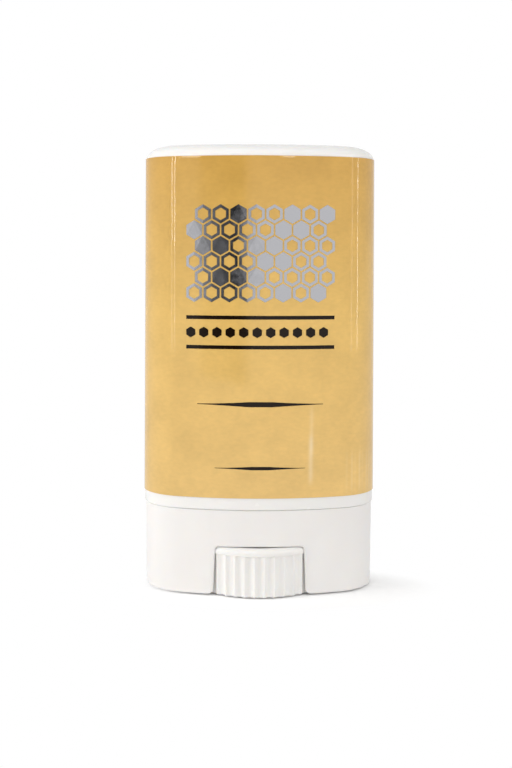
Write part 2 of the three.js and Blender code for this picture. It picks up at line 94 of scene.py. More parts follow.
aim = CAMERA_AROUND + math.atan2(AXIS_PIXEL - IMAGE_WIDTH / 2, FOCAL_PIXELS)
level = Vector((-math.sin(aim), math.cos(aim), 0))
right = Vector((level.y, -level.x, 0))
forward = level * math.cos(CAMERA_PITCH) - Vector((0, 0, math.sin(CAMERA_PITCH)))
up = right.cross(forward)
right = right * math.cos(CAMERA_ROLL) + up * math.sin(CAMERA_ROLL)
up = right.cross(forward)
eye = Vector((
    CAMERA_DISTANCE * math.sin(CAMERA_AROUND),
    -CAMERA_DISTANCE * math.cos(CAMERA_AROUND),
    CAMERA_HEIGHT,
))

camera = placed("camera", bpy.data.cameras.new("camera"))
camera.data.sensor_fit = "VERTICAL"
camera.data.sensor_height = SENSOR_HEIGHT
camera.data.lens = FOCAL_PIXELS / IMAGE_HEIGHT * SENSOR_HEIGHT
camera.data.clip_start = 10 * MM
camera.matrix_world = Matrix.Translation(eye) @ Matrix((right, up, -forward)).transposed().to_4x4()
scene.camera = camera
print(f"camera: {camera.data.lens:.1f} mm lens, {CAMERA_DISTANCE / MM:.0f} mm from the stick")

# %% [markdown]
# ## The oval and how a skin is laid over it
# Seen from above, every wall of the case is the same oval: two shallow bows joined by two tight round
# ends. A point on it is found from the way walked along the outline, starting in the middle of the
# front, and from how far it lies inside the outline. One helper gives that point. A second lays faces
# over a stack of rings, which is how a lofted surface is made by hand: it keeps every edge loop where
# it is wanted, and small rounded edges can be written into the profile instead of being bevelled on.

# %% The oval outline
CAP_WIDTH, CAP_DEPTH, END_RADIUS = 35.74, 18.66, 7.72
END_CENTRE = CAP_WIDTH / 2 - END_RADIUS
BOW_RADIUS = (
    (END_CENTRE ** 2 + (CAP_DEPTH / 2) ** 2 - END_RADIUS ** 2) / (CAP_DEPTH - 2 * END_RADIUS)
)
BOW_CENTRE = BOW_RADIUS - CAP_DEPTH / 2
END_ANGLE = math.atan2(BOW_CENTRE, END_CENTRE)
BOW_HALF = BOW_RADIUS * (math.pi / 2 - END_ANGLE)
END_HALF = END_RADIUS * END_ANGLE
GIRTH = 4 * (BOW_HALF + END_HALF)
RING_POINTS = 224


def oval_point(way, inset, z):
    """A point of the outline, `way` mm from the middle of the front towards +X."""
    way = (way + GIRTH / 2) % GIRTH - GIRTH / 2
    side, walked = math.copysign(1, way), abs(way)
    if walked <= BOW_HALF:
        angle, radius = walked / BOW_RADIUS, BOW_RADIUS - inset
        x, y = radius * math.sin(angle), BOW_CENTRE - radius * math.cos(angle)
    elif walked <= BOW_HALF + 2 * END_HALF:
        angle, radius = (walked - BOW_HALF) / END_RADIUS - END_ANGLE, END_RADIUS - inset
        x, y = END_CENTRE + radius * math.cos(angle), radius * math.sin(angle)
    else:
        angle, radius = (GIRTH / 2 - walked) / BOW_RADIUS, BOW_RADIUS - inset
        x, y = radius * math.sin(angle), radius * math.cos(angle) - BOW_CENTRE
    return side * x, y, z


def spread(start, end, count):
    """Evenly spaced values from start to end, both included."""
    return [start + (end - start) * i / count for i in range(count + 1)]


WAYS = spread(0, GIRTH, RING_POINTS)[:-1]


def oval_ring(inset, z, shrink=1.0):
    points = (oval_point(way, inset, z) for way in WAYS)
    return [(x * shrink, y * shrink, z) for x, y, z in points]


print(f"oval: {GIRTH:.1f} mm round, bows of {BOW_RADIUS:.1f} mm radius")

# %% The skin
WELD = 1e-4 * MM
CREASE = math.radians(40)


def outline_object(name, verts, faces, material):
    """A closed mesh from points in mm, smooth except along creases."""
    mesh = bpy.data.meshes.new(name)
    mesh.from_pydata([Vector(point) * MM for point in verts], [], faces)
    bm = bmesh.new()
    bm.from_mesh(mesh)
    bmesh.ops.remove_doubles(bm, verts=bm.verts, dist=WELD)
    bmesh.ops.dissolve_degenerate(bm, edges=bm.edges, dist=WELD)
    if bm.calc_volume(signed=True) < 0:
        bmesh.ops.reverse_faces(bm, faces=bm.faces)
    volume = bm.calc_volume() / MM ** 3
    open_edges = sum(not edge.is_manifold for edge in bm.edges)
    bm.to_mesh(mesh)
    bm.free()
    mesh.shade_smooth()
    mesh.set_sharp_from_angle(angle=CREASE)
    mesh.materials.append(material)
    print(f"{name}: {len(mesh.polygons)} faces, {volume:.0f} mm3, {open_edges} open edges")
    return placed(name, mesh)


def skin(name, rings, material, loop=False):
    """Faces over rings listed from the axis over the top, down the outside and back to the axis.

    A ring of one point is a pole. A first or last ring of more points is closed by a flat face,
    unless the stack is a loop and its last ring joins its first.
    """
    verts, starts, faces = [], [], []
    for ring in rings:
        starts.append(len(verts))
        verts.extend(ring)
    pairs = list(zip(range(len(rings)), range(1, len(rings))))
    if loop:
        pairs.append((len(rings) - 1, 0))
    for upper, lower in pairs:
        sizes = len(rings[upper]), len(rings[lower])
        for i in range(max(sizes)):
            corners = [
                starts[upper] + i % sizes[0],
                starts[lower] + i % sizes[1],
                starts[lower] + (i + 1) % sizes[1],
                starts[upper] + (i + 1) % sizes[0],
            ]
            faces.append(list(dict.fromkeys(corners)))
    if not loop and len(rings[0]) > 2:
        faces.append(list(range(len(rings[0]))))
    if not loop and len(rings[-1]) > 2:
        faces.append(list(range(starts[-1], len(verts)))[::-1])
    return outline_object(name, verts, faces, material)


def arc(inset, z, wide, high, start, end, steps):
    """Pairs of inset and height on an ellipse; 0 degrees points outwards and 90 up."""
    turns = [math.radians(a) for a in spread(start, end, steps)]
    return [(inset - wide * math.cos(a), z + high * math.sin(a)) for a in turns]


# %% [markdown]
# ## Finishes: one way to wire a node
# Every finish below is a node tree. One small function adds a node, sets what it is told to set and
# links what it is told to link, and it serves shader trees and geometry trees alike. Colours are
# written as they would be picked on a screen and turned into linear light by a second function.

# %% Nodes and colours
NOISE_SPAN = {"From Min": 0.3, "From Max": 0.7}  # where nearly all of a noise lies


def add(tree, kind, links=None, **settings):
    """Adds a node. A link is a value, a socket, a node for its first output, or a list of these."""
    made = tree.nodes.new(kind)
    for name, value in settings.items():
        setattr(made, name, value)
    for socket, values in (links or {}).items():
        for value in values if isinstance(values, list) else [values]:
            if isinstance(value, bpy.types.Node):
                value = value.outputs[0]
            if isinstance(value, bpy.types.NodeSocket):
                tree.links.new(value, made.inputs[socket])
            else:
                made.inputs[socket].default_value = value
    return made


def linear(code):
    """An sRGB hex colour as linear RGBA."""
    parts = [int(code[i:i + 2], 16) / 255 for i in (1, 3, 5)]
    return tuple(p / 12.92 if p <= 0.04045 else ((p + 0.055) / 1.055) ** 2.4 for p in parts) + (1.0,)


def stops(ramp, *marks):
    """Sets the marks of a colour ramp, each a place from 0 to 1 and a colour, in rising order."""
    elements = ramp.color_ramp.elements
    for i, (at, colour) in enumerate((marks[0], marks[-1])):
        elements[i].position, elements[i].color = at, colour
    for at, colour in marks[1:-1]:
        elements.new(at).color = colour
    return ramp


def new_finish(name):
    """An empty material, with its tree and its place on the object."""
    material = bpy.data.materials.new(name)
    material.use_nodes = True
    tree = material.node_tree
    tree.nodes.clear()
    return material, tree, add(tree, "ShaderNodeTexCoord").outputs["Object"]


print(f"the middle grey of a screen is {linear('#808080')[0]:.2f} of white in linear light")

# %% [markdown]
# ## White polypropylene
# The cap, the case and the wheel are injection-moulded polypropylene, white with a little warmth. The
# cap came from a polished mould and is glossy; the case and the wheel are satin. To the eye that is a
# soft broad highlight, a hardly visible ripple where the skin shrank as it cooled, a fine tooth from
# the mould, and narrow gaps that stay pale and warm because light creeps through the plastic. A flat
# colour would look like paper, so the tint drifts slightly over a centimetre, the gloss is uneven over
# a few millimetres and the ripple and the tooth are bump.


# %% White polypropylene
def moulded_polypropylene(name, tint, shade, roughness, tooth):
    material, tree, place = new_finish(name)
    drift = add(tree, "ShaderNodeTexNoise", {"Vector": place, "Scale": PER_MM / 11, "Detail": 2.0})
    tint_drift = stops(
        add(tree, "ShaderNodeValToRGB", {"Fac": drift}), (0.35, linear(shade)), (0.65, linear(tint)),
    )
    gloss = add(tree, "ShaderNodeTexNoise", {"Vector": place, "Scale": PER_MM / 3, "Detail": 3.0})
    gloss_range = add(tree, "ShaderNodeMapRange", {
        "Value": gloss, **NOISE_SPAN, "To Min": roughness - 0.04, "To Max": roughness + 0.04,
    })
    # The real tooth is finer than a pixel, so it is drawn 0.4 mm wide to show at all.
    grit = add(tree, "ShaderNodeTexNoise", {"Vector": place, "Scale": PER_MM / 0.4, "Detail": 2.0})
    ripple = add(tree, "ShaderNodeBump", {
        "Height": drift, "Strength": 0.15, "Distance": 0.25 * MM,
    })
    surface = add(tree, "ShaderNodeBump", {
        "Height": grit, "Strength": tooth, "Distance": 0.02 * MM, "Normal": ripple,
    })
    shader = add(tree, "ShaderNodeBsdfPrincipled", {
        "Base Color": tint_drift,
        "Roughness": gloss_range,
        "IOR": 1.49,
        "Subsurface Weight": 0.3,
        "Subsurface Radius": (1.0, 0.8, 0.6),
        "Subsurface Scale": 0.5 * MM,
        "Normal": surface,
    })
    add(tree, "ShaderNodeOutputMaterial", {"Surface": shader})
    return material


cap_white = moulded_polypropylene("polypropylene_polished", "#f5f3f0", "#f2f0ed", 0.24, 0.1)
case_white = moulded_polypropylene("polypropylene_satin", "#f3f0ed", "#f0edea", 0.36, 0.25)
wheel_white = moulded_polypropylene("polypropylene_wheel", "#f3f1ee", "#f0eeeb", 0.33, 0.2)
elevator_white = moulded_polypropylene("polypropylene_matt", "#f0eee9", "#ebe8e2", 0.48, 0.4)
print("white plastics:", cap_white.name, case_white.name, wheel_white.name, elevator_white.name)

# %% [markdown]
# ## Cap
# The cap is a hollow oval shell that tapers a little towards its top, so that it could leave its
# mould. Its top edge is a long soft round, drawn as a quarter of an ellipse. A cube with a subdivision
# surface would give the round but not the exact oval, so the cap is a stack of rings: over the top,
# down the outside to the rim, and up the inside to the ceiling.


# %% Cap
def heights_of(node):
    """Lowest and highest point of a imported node, in mm."""
    low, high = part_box(node)
    return low[2] / MM, high[2] / MM


CAP_RIM, CAP_TOP = heights_of("cap")
CAP_TAPER = math.tan(math.radians(0.59))
CAP_WALL, CAP_ROOF, CEILING_ROUND = 1.3, 1.5, 1.5
EDGE_INSET, EDGE_DROP, RIM_ROUND = 3.6, 1.9, 0.14
EDGE_Z = CAP_TOP - EDGE_DROP
CROWN_INSETS = 7.2, 6.0, 5.0


def taper(z):
    return CAP_TAPER * (z - CAP_RIM)


def cap_rings():
    crown = [(inset, CAP_TOP) for inset in CROWN_INSETS]
    edge = arc(taper(EDGE_Z) + EDGE_INSET, EDGE_Z, EDGE_INSET, EDGE_DROP, 90, 0, 18)
    low = CAP_RIM + RIM_ROUND
    wall = [(taper(z), z) for z in spread(EDGE_Z, low, 30)[1:-1]]
    rim = arc(RIM_ROUND, low, RIM_ROUND, RIM_ROUND, 0, -90, 5)
    rim += arc(CAP_WALL - RIM_ROUND, low, RIM_ROUND, RIM_ROUND, -90, -180, 5)
    spring = CAP_TOP - CAP_ROOF - CEILING_ROUND
    inside = [(CAP_WALL + taper(z), z) for z in spread(CAP_RIM + 2 * RIM_ROUND, spring, 12)]
    ceiling = arc(inside[-1][0] + CEILING_ROUND, spring, CEILING_ROUND, CEILING_ROUND, 0, 90, 8)
    return [oval_ring(*at) for at in [*crown, *edge, *wall, *rim, *inside, *ceiling[1:]]]


def stands_for(piece, node, body):
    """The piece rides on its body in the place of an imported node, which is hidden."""
    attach(piece, body)
    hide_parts(node)


cap = skin("cap_shell", cap_rings(), cap_white)
stands_for(cap, "cap", "cover")

# %% [markdown]
# ## Gold film
# The label is a printed plastic film with a clear gloss laminate. The gold is flat ink, not metal: it
# is slightly cloudy over a few millimetres, finely grained, and its colour turns browner towards the
# top. Light and shade are also painted into the colour: a paler foot is a painted reflection of the
# table, the film is painted darker on the left and lighter on the right to even out the light from
# the left, its right-hand end carries painted shade, and its creases and pleats carry painted
# highlights. The laminate is what shines, so the ink below is rough and a coat lies over it. A
# metallic gold would reflect the whole room, which printed ink doesn't.

# %% Gold film
LABEL_FOOT, LABEL_TOP = heights_of("cap_label")

gold_film, tree, place = new_finish("gold_ink_under_laminate")
along = add(tree, "ShaderNodeSeparateXYZ", {"Vector": place}).outputs
rise = add(tree, "ShaderNodeMapRange", {
    "Value": along["Z"], "From Min": LABEL_FOOT * MM, "From Max": LABEL_TOP * MM,
})
# Browner towards the top; the paler stop at the foot is a painted reflection of the table.
height_tint_with_painted_reflection = stops(
    add(tree, "ShaderNodeValToRGB", {"Fac": rise}),
    (0.0, linear("#ebc378")), (0.55, linear("#e8be6b")), (1.0, linear("#d6a753")),
)
cloud = add(tree, "ShaderNodeTexNoise", {
    "Vector": place, "Scale": PER_MM / 5, "Detail": 4.0, "Roughness": 0.6,
})
stretch = add(tree, "ShaderNodeMapping", {"Vector": place, "Scale": (1.0, 1.0, 2.0)})
grain = add(tree, "ShaderNodeTexNoise", {"Vector": stretch, "Scale": PER_MM / 0.9, "Detail": 3.0})
# How bright the ink is: random cloud and grain, then painted light, darker on the left and lighter
# on the right to even out the light from the left, and painted shade on the right-hand end.
LEFT, RIGHT, PAINTED_SHADE_START, PAINTED_SHADE_STOP = -18 * MM, 18 * MM, 14.5 * MM, 17 * MM
ink_tone_and_painted_light = 1.0
for cause, span, least, most in (
    (cloud, NOISE_SPAN, 0.9, 1.02),
    (grain, NOISE_SPAN, 0.97, 1.03),
    (along["X"], {"From Min": LEFT, "From Max": RIGHT}, 0.92, 1.07),
    (along["X"], {"From Min": PAINTED_SHADE_START, "From Max": PAINTED_SHADE_STOP}, 1.0, 0.92),
):
    share = add(tree, "ShaderNodeMapRange", {"Value": cause, **span, "To Min": least, "To Max": most})
    ink_tone_and_painted_light = add(tree, "ShaderNodeMath", {0: ink_tone_and_painted_light, 1: share}, operation="MULTIPLY")
ink_with_painted_light = add(tree, "ShaderNodeHueSaturation", {"Color": height_tint_with_painted_reflection, "Value": ink_tone_and_painted_light})
# Along the creases and pleats a painted highlight lightens the film towards pale cream; how strongly
# is stored on the mesh.
painted_glint = add(tree, "ShaderNodeAttribute", attribute_name="painted_glint").outputs["Fac"]
ink_with_painted_glints = add(tree, "ShaderNodeMix", {
    "Factor": painted_glint, "A": ink_with_painted_light.outputs["Color"], "B": linear("#fff3d8"),
}, data_type="RGBA").outputs["Result"]
film_wave = add(tree, "ShaderNodeBump", {"Height": cloud, "Strength": 0.06, "Distance": 0.2 * MM})
shader = add(tree, "ShaderNodeBsdfPrincipled", {
    "Base Color": ink_with_painted_glints,
    "Roughness": 0.6,
    "Specular IOR Level": 0.0,
    "Coat Weight": 1.0,
    "Coat Roughness": 0.04,
    "Coat IOR": 1.5,
    "Coat Normal": film_wave,
})
add(tree, "ShaderNodeOutputMaterial", {"Surface": shader})
print("label finish:", gold_film.name)

# %% [markdown]
# ## Label
# The film goes once round the cap and leaves a narrow butt seam at the back. It was applied to a
# tapered oval, so it doesn't lie perfectly flat: its top edge lifts in two places, one upright crease
# runs near the foot, and fine pleats gather where it turns the right-hand end. Bump alone would not
# catch the light on its edges, so these are lifts in the mesh, a few hundredths of a millimetre high.
# The film is built like a bent strip: one closed section at each step along the outline.

# %% Lifts of the film
GLUE, FILM = 0.03, 0.1
# A fold: its middle along the outline, half its width and its rise.
FOLDS = ((-10.4, 1.8, 0.057), (4.0, 1.1, 0.056))
FOLD_HEIGHT, FOLD_FADE = 0.35, 0.5
# A crease or pleat: the same three, then its lower and upper end and how strong its painted highlight
# is.
CREASES = ((7.65, 0.34, 0.04, 16.8, 25.2, 0.26), (7.75, 0.3, 0.02, 21.0, 29.5, 0.14))
PLEATS = tuple((way, 0.16, 0.03, 15.0, 22.5, glint_strength) for way, glint_strength in (
    (13.4, 0.06), (14.3, 0.12), (14.9, 0.05), (15.8, 0.14), (16.4, 0.06), (17.5, 0.12), (18.2, 0.08),
))
WAVE_RISE, LINE_FADE = 0.001, 1.6


def line_shape(way, z, middle, half, low, high):
    """1 on the line of a crease between its two ends, fading to 0 around it."""
    between = max(0.0, min(1.0, (z - low) / LINE_FADE, (high - z) / LINE_FADE))
    return math.exp(-((way - middle) / half) ** 2) * between


def film_lift(way, z):
    """How far the film stands off the cap, beyond its own thickness, in mm."""
    # A slow unevenness of a thousandth, with its waves in radians per mm.
    lift = WAVE_RISE * (1 + math.sin(way * 1.3 + z * 0.11) * math.sin(z * 0.31 + way * 0.2))
    below = LABEL_TOP - z
    upright = min(1.0, below / FOLD_HEIGHT) * math.exp(-max(0.0, below - FOLD_HEIGHT) / FOLD_FADE)
    for middle, half, rise in FOLDS:
        lift += rise * upright / (1 + ((way - middle) / half) ** 8)
    for middle, half, rise, low, high, glint_strength in CREASES + PLEATS:
        lift += rise * line_shape(way, z, middle, half, low, high)
    return lift


def painted_glint_at(way, z):
    """How strongly the painted highlight on the creases and pleats lightens the film, 0 to 1."""
    return sum(glint_strength * line_shape(way, z, middle, half, low, high)
               for middle, half, rise, low, high, glint_strength in CREASES + PLEATS)


def film_point(way, z, out=0.0):
    """A point `out` mm above the face of the film."""
    return oval_point(way, taper(z) - GLUE - FILM - film_lift(way, z) - out, z)


print(f"film: {len(FOLDS)} folds, {len(CREASES)} creases, {len(PLEATS)} pleats")

# %% Label
SEAM_HALF = 0.2
FRONT_REACH, FRONT_STEPS, BACK_STEPS = 20, 250, 60
TOP_BAND, BAND_STEPS, WALL_STEPS = 2, 20, 90


def front_way(x, y):
    """The way along the outline of a point on its front half."""
    if abs(x) * BOW_CENTRE <= (BOW_CENTRE - y) * END_CENTRE:
        return BOW_RADIUS * math.atan2(x, BOW_CENTRE - y)
    turn = math.atan2(y, abs(x) - END_CENTRE) + END_ANGLE
    return math.copysign(BOW_HALF + END_RADIUS * turn, x)


def label_sections():
    back = spread(-GIRTH / 2 + SEAM_HALF, -FRONT_REACH, BACK_STEPS)[:-1]
    ways = back + spread(-FRONT_REACH, FRONT_REACH, FRONT_STEPS) + [-way for way in reversed(back)]
    heights = spread(LABEL_FOOT, LABEL_TOP - TOP_BAND, WALL_STEPS)
    heights += spread(LABEL_TOP - TOP_BAND, LABEL_TOP, BAND_STEPS)[1:]
    for way in ways:
        inner = [oval_point(way, taper(z) - GLUE, z) for z in (LABEL_TOP, LABEL_FOOT)]
        yield [film_point(way, z) for z in heights] + inner


label = skin("label_film", list(label_sections()), gold_film)
# The creases and pleats carry a painted highlight, stored on each point for the film's shader.
painted_glint_layer = label.data.attributes.new("painted_glint", "FLOAT", "POINT")
for vertex in label.data.vertices:
    x, y, z = vertex.co / MM
    painted_glint_layer.data[vertex.index].value = painted_glint_at(front_way(x, y), z) if y < 0 else 0.0
stands_for(label, "cap_label", "cover")

# %% [markdown]
# ## Silver foil honeycomb
# The front of the label carries a hot-stamped silver foil. Here it is a plain honeycomb, which suits a
# wax pack. Cells that repeat are work for Geometry Nodes: a grid of points with every second row moved
# half a cell, one cell instanced on each, and then the flat sheet is rolled onto the front bow by a
# formula. The same tree, with solid cells in one row, makes the black beads further down.
#
# Stamped foil is real aluminium under a clear lacquer: a mirror with faint orange peel from the film
# below it.

# %% Foil and ink
silver_foil, tree, place = new_finish("stamped_aluminium_foil")
peel = add(tree, "ShaderNodeTexNoise", {"Vector": place, "Scale": PER_MM / 1.2, "Detail": 3.0})
peel_bump = add(tree, "ShaderNodeBump", {"Height": peel, "Strength": 0.2, "Distance": 0.05 * MM})
wear = add(tree, "ShaderNodeMapRange", {"Value": peel, **NOISE_SPAN, "To Min": 0.1, "To Max": 0.2})
shader = add(tree, "ShaderNodeBsdfPrincipled", {
    "Base Color": linear("#c8c8cc"), "Metallic": 1.0, "Roughness": wear, "Normal": peel_bump,
})
add(tree, "ShaderNodeOutputMaterial", {"Surface": shader})

# Offset ink under the same laminate as the gold: a warm black, slightly starved in specks.
black_ink, tree, place = new_finish("black_ink_under_laminate")
speck = add(tree, "ShaderNodeTexNoise", {"Vector": place, "Scale": PER_MM / 0.5, "Detail": 2.0})
speck_tint = stops(
    add(tree, "ShaderNodeValToRGB", {"Fac": speck}), (0.0, linear("#100a05")), (1.0, linear("#221509")),
)
shader = add(tree, "ShaderNodeBsdfPrincipled", {
    "Base Color": speck_tint,
    "Roughness": 0.5,
    "Specular IOR Level": 0.0,
    "Coat Weight": 0.5,
    "Coat Roughness": 0.04,
})
add(tree, "ShaderNodeOutputMaterial", {"Surface": shader})
print("print finishes:", silver_foil.name, black_ink.name)


# %% Geometry trees
def new_tree(name, **inputs):
    """An empty geometry tree, with named inputs for each kind of socket."""
    tree = bpy.data.node_groups.new(name, "GeometryNodeTree")
    sockets = tree.interface
    sockets.new_socket("Geometry", in_out="OUTPUT", socket_type="NodeSocketGeometry")
    for kind, names in {"Geometry": ["Geometry"], **inputs, "Material": ["Material"]}.items():
        for label in names:
            sockets.new_socket(label, in_out="INPUT", socket_type="NodeSocket" + kind)
    return tree, add(tree, "NodeGroupInput").outputs


def end_tree(tree, geometry, material):
    painted = add(tree, "GeometryNodeSetMaterial", {"Geometry": geometry, "Material": material})
    add(tree, "NodeGroupOutput", {"Geometry": painted})
    return tree


def grown(name, tree, values, blank=None):
    """A plain mesh object grown by a geometry tree, with the modifier and its blank gone."""
    seed = blank or placed(name + "_seed", bpy.data.meshes.new(name + "_seed"))
    modifier = seed.modifiers.new("grow", "NODES")
    modifier.node_group = tree
    sockets = {s.name: s.identifier for s in tree.interface.items_tree if s.in_out == "INPUT"}
    for socket, value in values.items():
        modifier[sockets[socket]] = value
    ready = seed.evaluated_get(bpy.context.evaluated_depsgraph_get())
    mesh = bpy.data.meshes.new_from_object(ready)
    mesh.name = name
    bpy.data.objects.remove(seed)
    print(f"{name}: {len(mesh.polygons)} faces, materials {[m.name for m in mesh.materials if m]}")
    return placed(name, mesh)


# %% Honeycomb: grid
ROW_RISE = math.sqrt(3) / 2


def staggered_points(tree, given):
    """Rows a little less than a pitch apart, with every second one moved half a pitch."""
    row_pitch = add(tree, "ShaderNodeMath", {0: given["Pitch"], 1: ROW_RISE}, operation="MULTIPLY")
    last_cell = add(tree, "ShaderNodeMath", {0: given["Cells"], 1: 1.0}, operation="SUBTRACT")
    last_row = add(tree, "ShaderNodeMath", {0: given["Rows"], 1: 1.0}, operation="SUBTRACT")
    wide = add(tree, "ShaderNodeMath", {0: last_cell, 1: given["Pitch"]}, operation="MULTIPLY")
    high = add(tree, "ShaderNodeMath", {0: last_row, 1: row_pitch}, operation="MULTIPLY")
    grid = add(tree, "GeometryNodeMeshGrid", {
        "Size X": wide, "Size Y": high, "Vertices X": given["Cells"], "Vertices Y": given["Rows"],
    })
    points = add(tree, "GeometryNodeMeshToPoints", {"Mesh": grid})
    shift = add(tree, "GeometryNodeInputIndex")
    for operation, value in (
        ("MODULO", given["Rows"]), ("MODULO", 2.0), ("SUBTRACT", 0.5), ("MULTIPLY", 0.5),
        ("MULTIPLY", given["Pitch"]),
    ):
        shift = add(tree, "ShaderNodeMath", {0: shift, 1: value}, operation=operation)
    offset = add(tree, "ShaderNodeCombineXYZ", {"X": shift})
    return add(tree, "GeometryNodeSetPosition", {"Geometry": points, "Offset": offset})


# %% Honeycomb: cells
FILL_SEED = 5


def flat_sheet(tree, given, points):
    """Hexagons on the points, most with their middle taken out, all with a thickness."""
    hexagon = add(tree, "GeometryNodeMeshCircle", {
        "Vertices": 6, "Radius": given["Cell Radius"],
    }, fill_type="NGON")
    inner = add(tree, "GeometryNodeExtrudeMesh", {"Mesh": hexagon, "Offset Scale": 0.0})
    drawn = add(tree, "GeometryNodeScaleElements", {
        "Geometry": inner, "Selection": inner.outputs["Top"], "Scale": given["Hollow"],
    })
    frame_only = add(tree, "GeometryNodeDeleteGeometry", {
        "Geometry": drawn, "Selection": inner.outputs["Top"],
    }, domain="FACE")
    # A share of the cells is left full, chosen by a fixed seed.
    full = add(tree, "FunctionNodeRandomValue", {
        "Probability": given["Filled"], "Seed": FILL_SEED,
    }, data_type="BOOLEAN").outputs[3]
    hollow = add(tree, "FunctionNodeBooleanMath", {0: full}, operation="NOT")
    cells = []
    for flat_cell, chosen in ((frame_only, hollow), (hexagon, full)):
        raised = add(tree, "GeometryNodeExtrudeMesh", {
            "Mesh": flat_cell, "Offset": (0.0, 0.0, 1.0), "Offset Scale": given["Thickness"],
            "Individual": False,
        })
        under = add(tree, "GeometryNodeFlipFaces", {"Mesh": flat_cell})
        both = add(tree, "GeometryNodeJoinGeometry", {"Geometry": [raised, under]})
        cell = add(tree, "GeometryNodeMergeByDistance", {"Geometry": both, "Distance": WELD})
        cells.append(add(tree, "GeometryNodeInstanceOnPoints", {
            "Points": points, "Selection": chosen, "Instance": cell,
            "Rotation": (0.0, 0.0, math.radians(30)),
        }))
    joined = add(tree, "GeometryNodeJoinGeometry", {"Geometry": cells})
    return add(tree, "GeometryNodeRealizeInstances", {"Geometry": joined})


# %% Honeycomb: rolled onto the label
def honeycomb_tree():
    """Hexagonal cells in rows, rolled onto the front bow of the label."""
    tree, given = new_tree("honeycomb", Int=("Cells", "Rows"), Float=(
        "Pitch", "Cell Radius", "Hollow", "Filled", "Height", "Stand Off", "Thickness",
    ))
    sheet = flat_sheet(tree, given, staggered_points(tree, given))
    # x becomes an angle about the bow's centre, y the height and z the way outwards.
    flat = add(tree, "ShaderNodeSeparateXYZ", {
        "Vector": add(tree, "GeometryNodeInputPosition"),
    }).outputs
    level = add(tree, "ShaderNodeMath", {0: flat["Y"], 1: given["Height"]}, operation="ADD")
    draw_in = add(tree, "ShaderNodeMath", {
        0: level, 1: -CAP_TAPER, 2: (BOW_RADIUS + CAP_TAPER * CAP_RIM) * MM,
    }, operation="MULTIPLY_ADD")
    lifted = add(tree, "ShaderNodeMath", {0: flat["Z"], 1: given["Stand Off"]}, operation="ADD")
    radius = add(tree, "ShaderNodeMath", {0: draw_in, 1: lifted}, operation="ADD")
    angle = add(tree, "ShaderNodeMath", {0: flat["X"], 1: BOW_RADIUS * MM}, operation="DIVIDE")
    sine = add(tree, "ShaderNodeMath", {0: angle}, operation="SINE")
    cosine = add(tree, "ShaderNodeMath", {0: angle}, operation="COSINE")
    x = add(tree, "ShaderNodeMath", {0: radius, 1: sine}, operation="MULTIPLY")
    back = add(tree, "ShaderNodeMath", {0: radius, 1: cosine}, operation="MULTIPLY")
    y = add(tree, "ShaderNodeMath", {0: BOW_CENTRE * MM, 1: back}, operation="SUBTRACT")
    bent = add(tree, "ShaderNodeCombineXYZ", {"X": x, "Y": y, "Z": level})
    rolled = add(tree, "GeometryNodeSetPosition", {"Geometry": sheet, "Position": bent})
    return end_tree(tree, rolled, given["Material"])


honeycomb = honeycomb_tree()
print(f"honeycomb tree: {len(honeycomb.nodes)} nodes")

# %% Foil
PRINT_CLEAR, PRINT_FILM = 0.03, 0.012
FOIL_DROP, BEADS_DROP = 14.2, 25.8


def printed_cells(name, drop, material, values):
    """Cells on the film, `drop` mm below its top edge."""
    cells = grown(name, honeycomb, {
        "Height": (LABEL_TOP - drop) * MM, "Stand Off": (GLUE + FILM + PRINT_CLEAR) * MM,
        "Thickness": PRINT_FILM * MM, "Material": material, **values,
    })
    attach(cells, "cover")


printed_cells("foil_honeycomb", FOIL_DROP, silver_foil, {
    "Cells": 8, "Rows": 6, "Pitch": 2.66 * MM, "Cell Radius": 1.4 * MM, "Hollow": 0.66, "Filled": 0.3,
})

# %% [markdown]
# ## Black rules
# Below the foil the label has plain printed rules: a row of beads between two lines, and further down
# two rules that swell towards their middle, as printers have always drawn them. They are narrow strips
# laid on the film point by point, so they follow every lift of it.

# %% Black rules
RULE_FOOT, RULE_FACE, RULE_STEPS = 0.008, 0.02, 90
HAIR, SWELL, SWELL_POWER = 0.12, 1.2, 1.5
# A rule: its name, how far below the film's top edge, half its length, its width, whether it swells.
RULES = (
    ("rule_above_beads", 23.6, 11.2, 0.55, False),
    ("rule_below_beads", 28.0, 11.2, 0.55, False),
    ("swelled_rule", 36.5, 9.5, 0.75, True),
    ("foot_rule", 46.1, 6.8, 0.5, True),
)


def rule_sections(z, half, width, swells):
    """Sections of a rule; one that swells tapers to a hair at both ends."""
    for way in spread(-half, half, RULE_STEPS):
        share = 1 - abs(way) / half
        wide = width * (min(1.0, HAIR + SWELL * share ** SWELL_POWER) if swells else 1.0) / 2
        yield [
            film_point(way, z - wide, RULE_FOOT), film_point(way, z + wide, RULE_FOOT),
            film_point(way, z + wide, RULE_FACE), film_point(way, z - wide, RULE_FACE),
        ]


for name, drop, half, width, swells in RULES:
    rule = skin(name, list(rule_sections(LABEL_TOP - drop, half, width, swells)), black_ink)
    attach(rule, "cover")
printed_cells("ink_beads", BEADS_DROP, black_ink, {
    "Cells": 11, "Rows": 1, "Pitch": 2.0 * MM, "Cell Radius": 0.8 * MM, "Hollow": 0.5, "Filled": 1.0,
})

# %% [markdown]
# ## Case: skirt, floor and tube
# One moulding carries everything: the tube that holds the wax, a floor, and the skirt the pack stands
# on, with a thumb window front and back. Cutting the windows with a boolean and bevelling their edges
# often leaves poor faces, so the windows are part of the flow of the mesh instead. The lower edge of
# the skirt is one long closed line that runs along the foot, up round each window and down again. At
# each step of that line a column of faces goes up to the shoulder and on up the tube, and another goes
# round the rounded edge and up the inside, back to the hole in the floor.

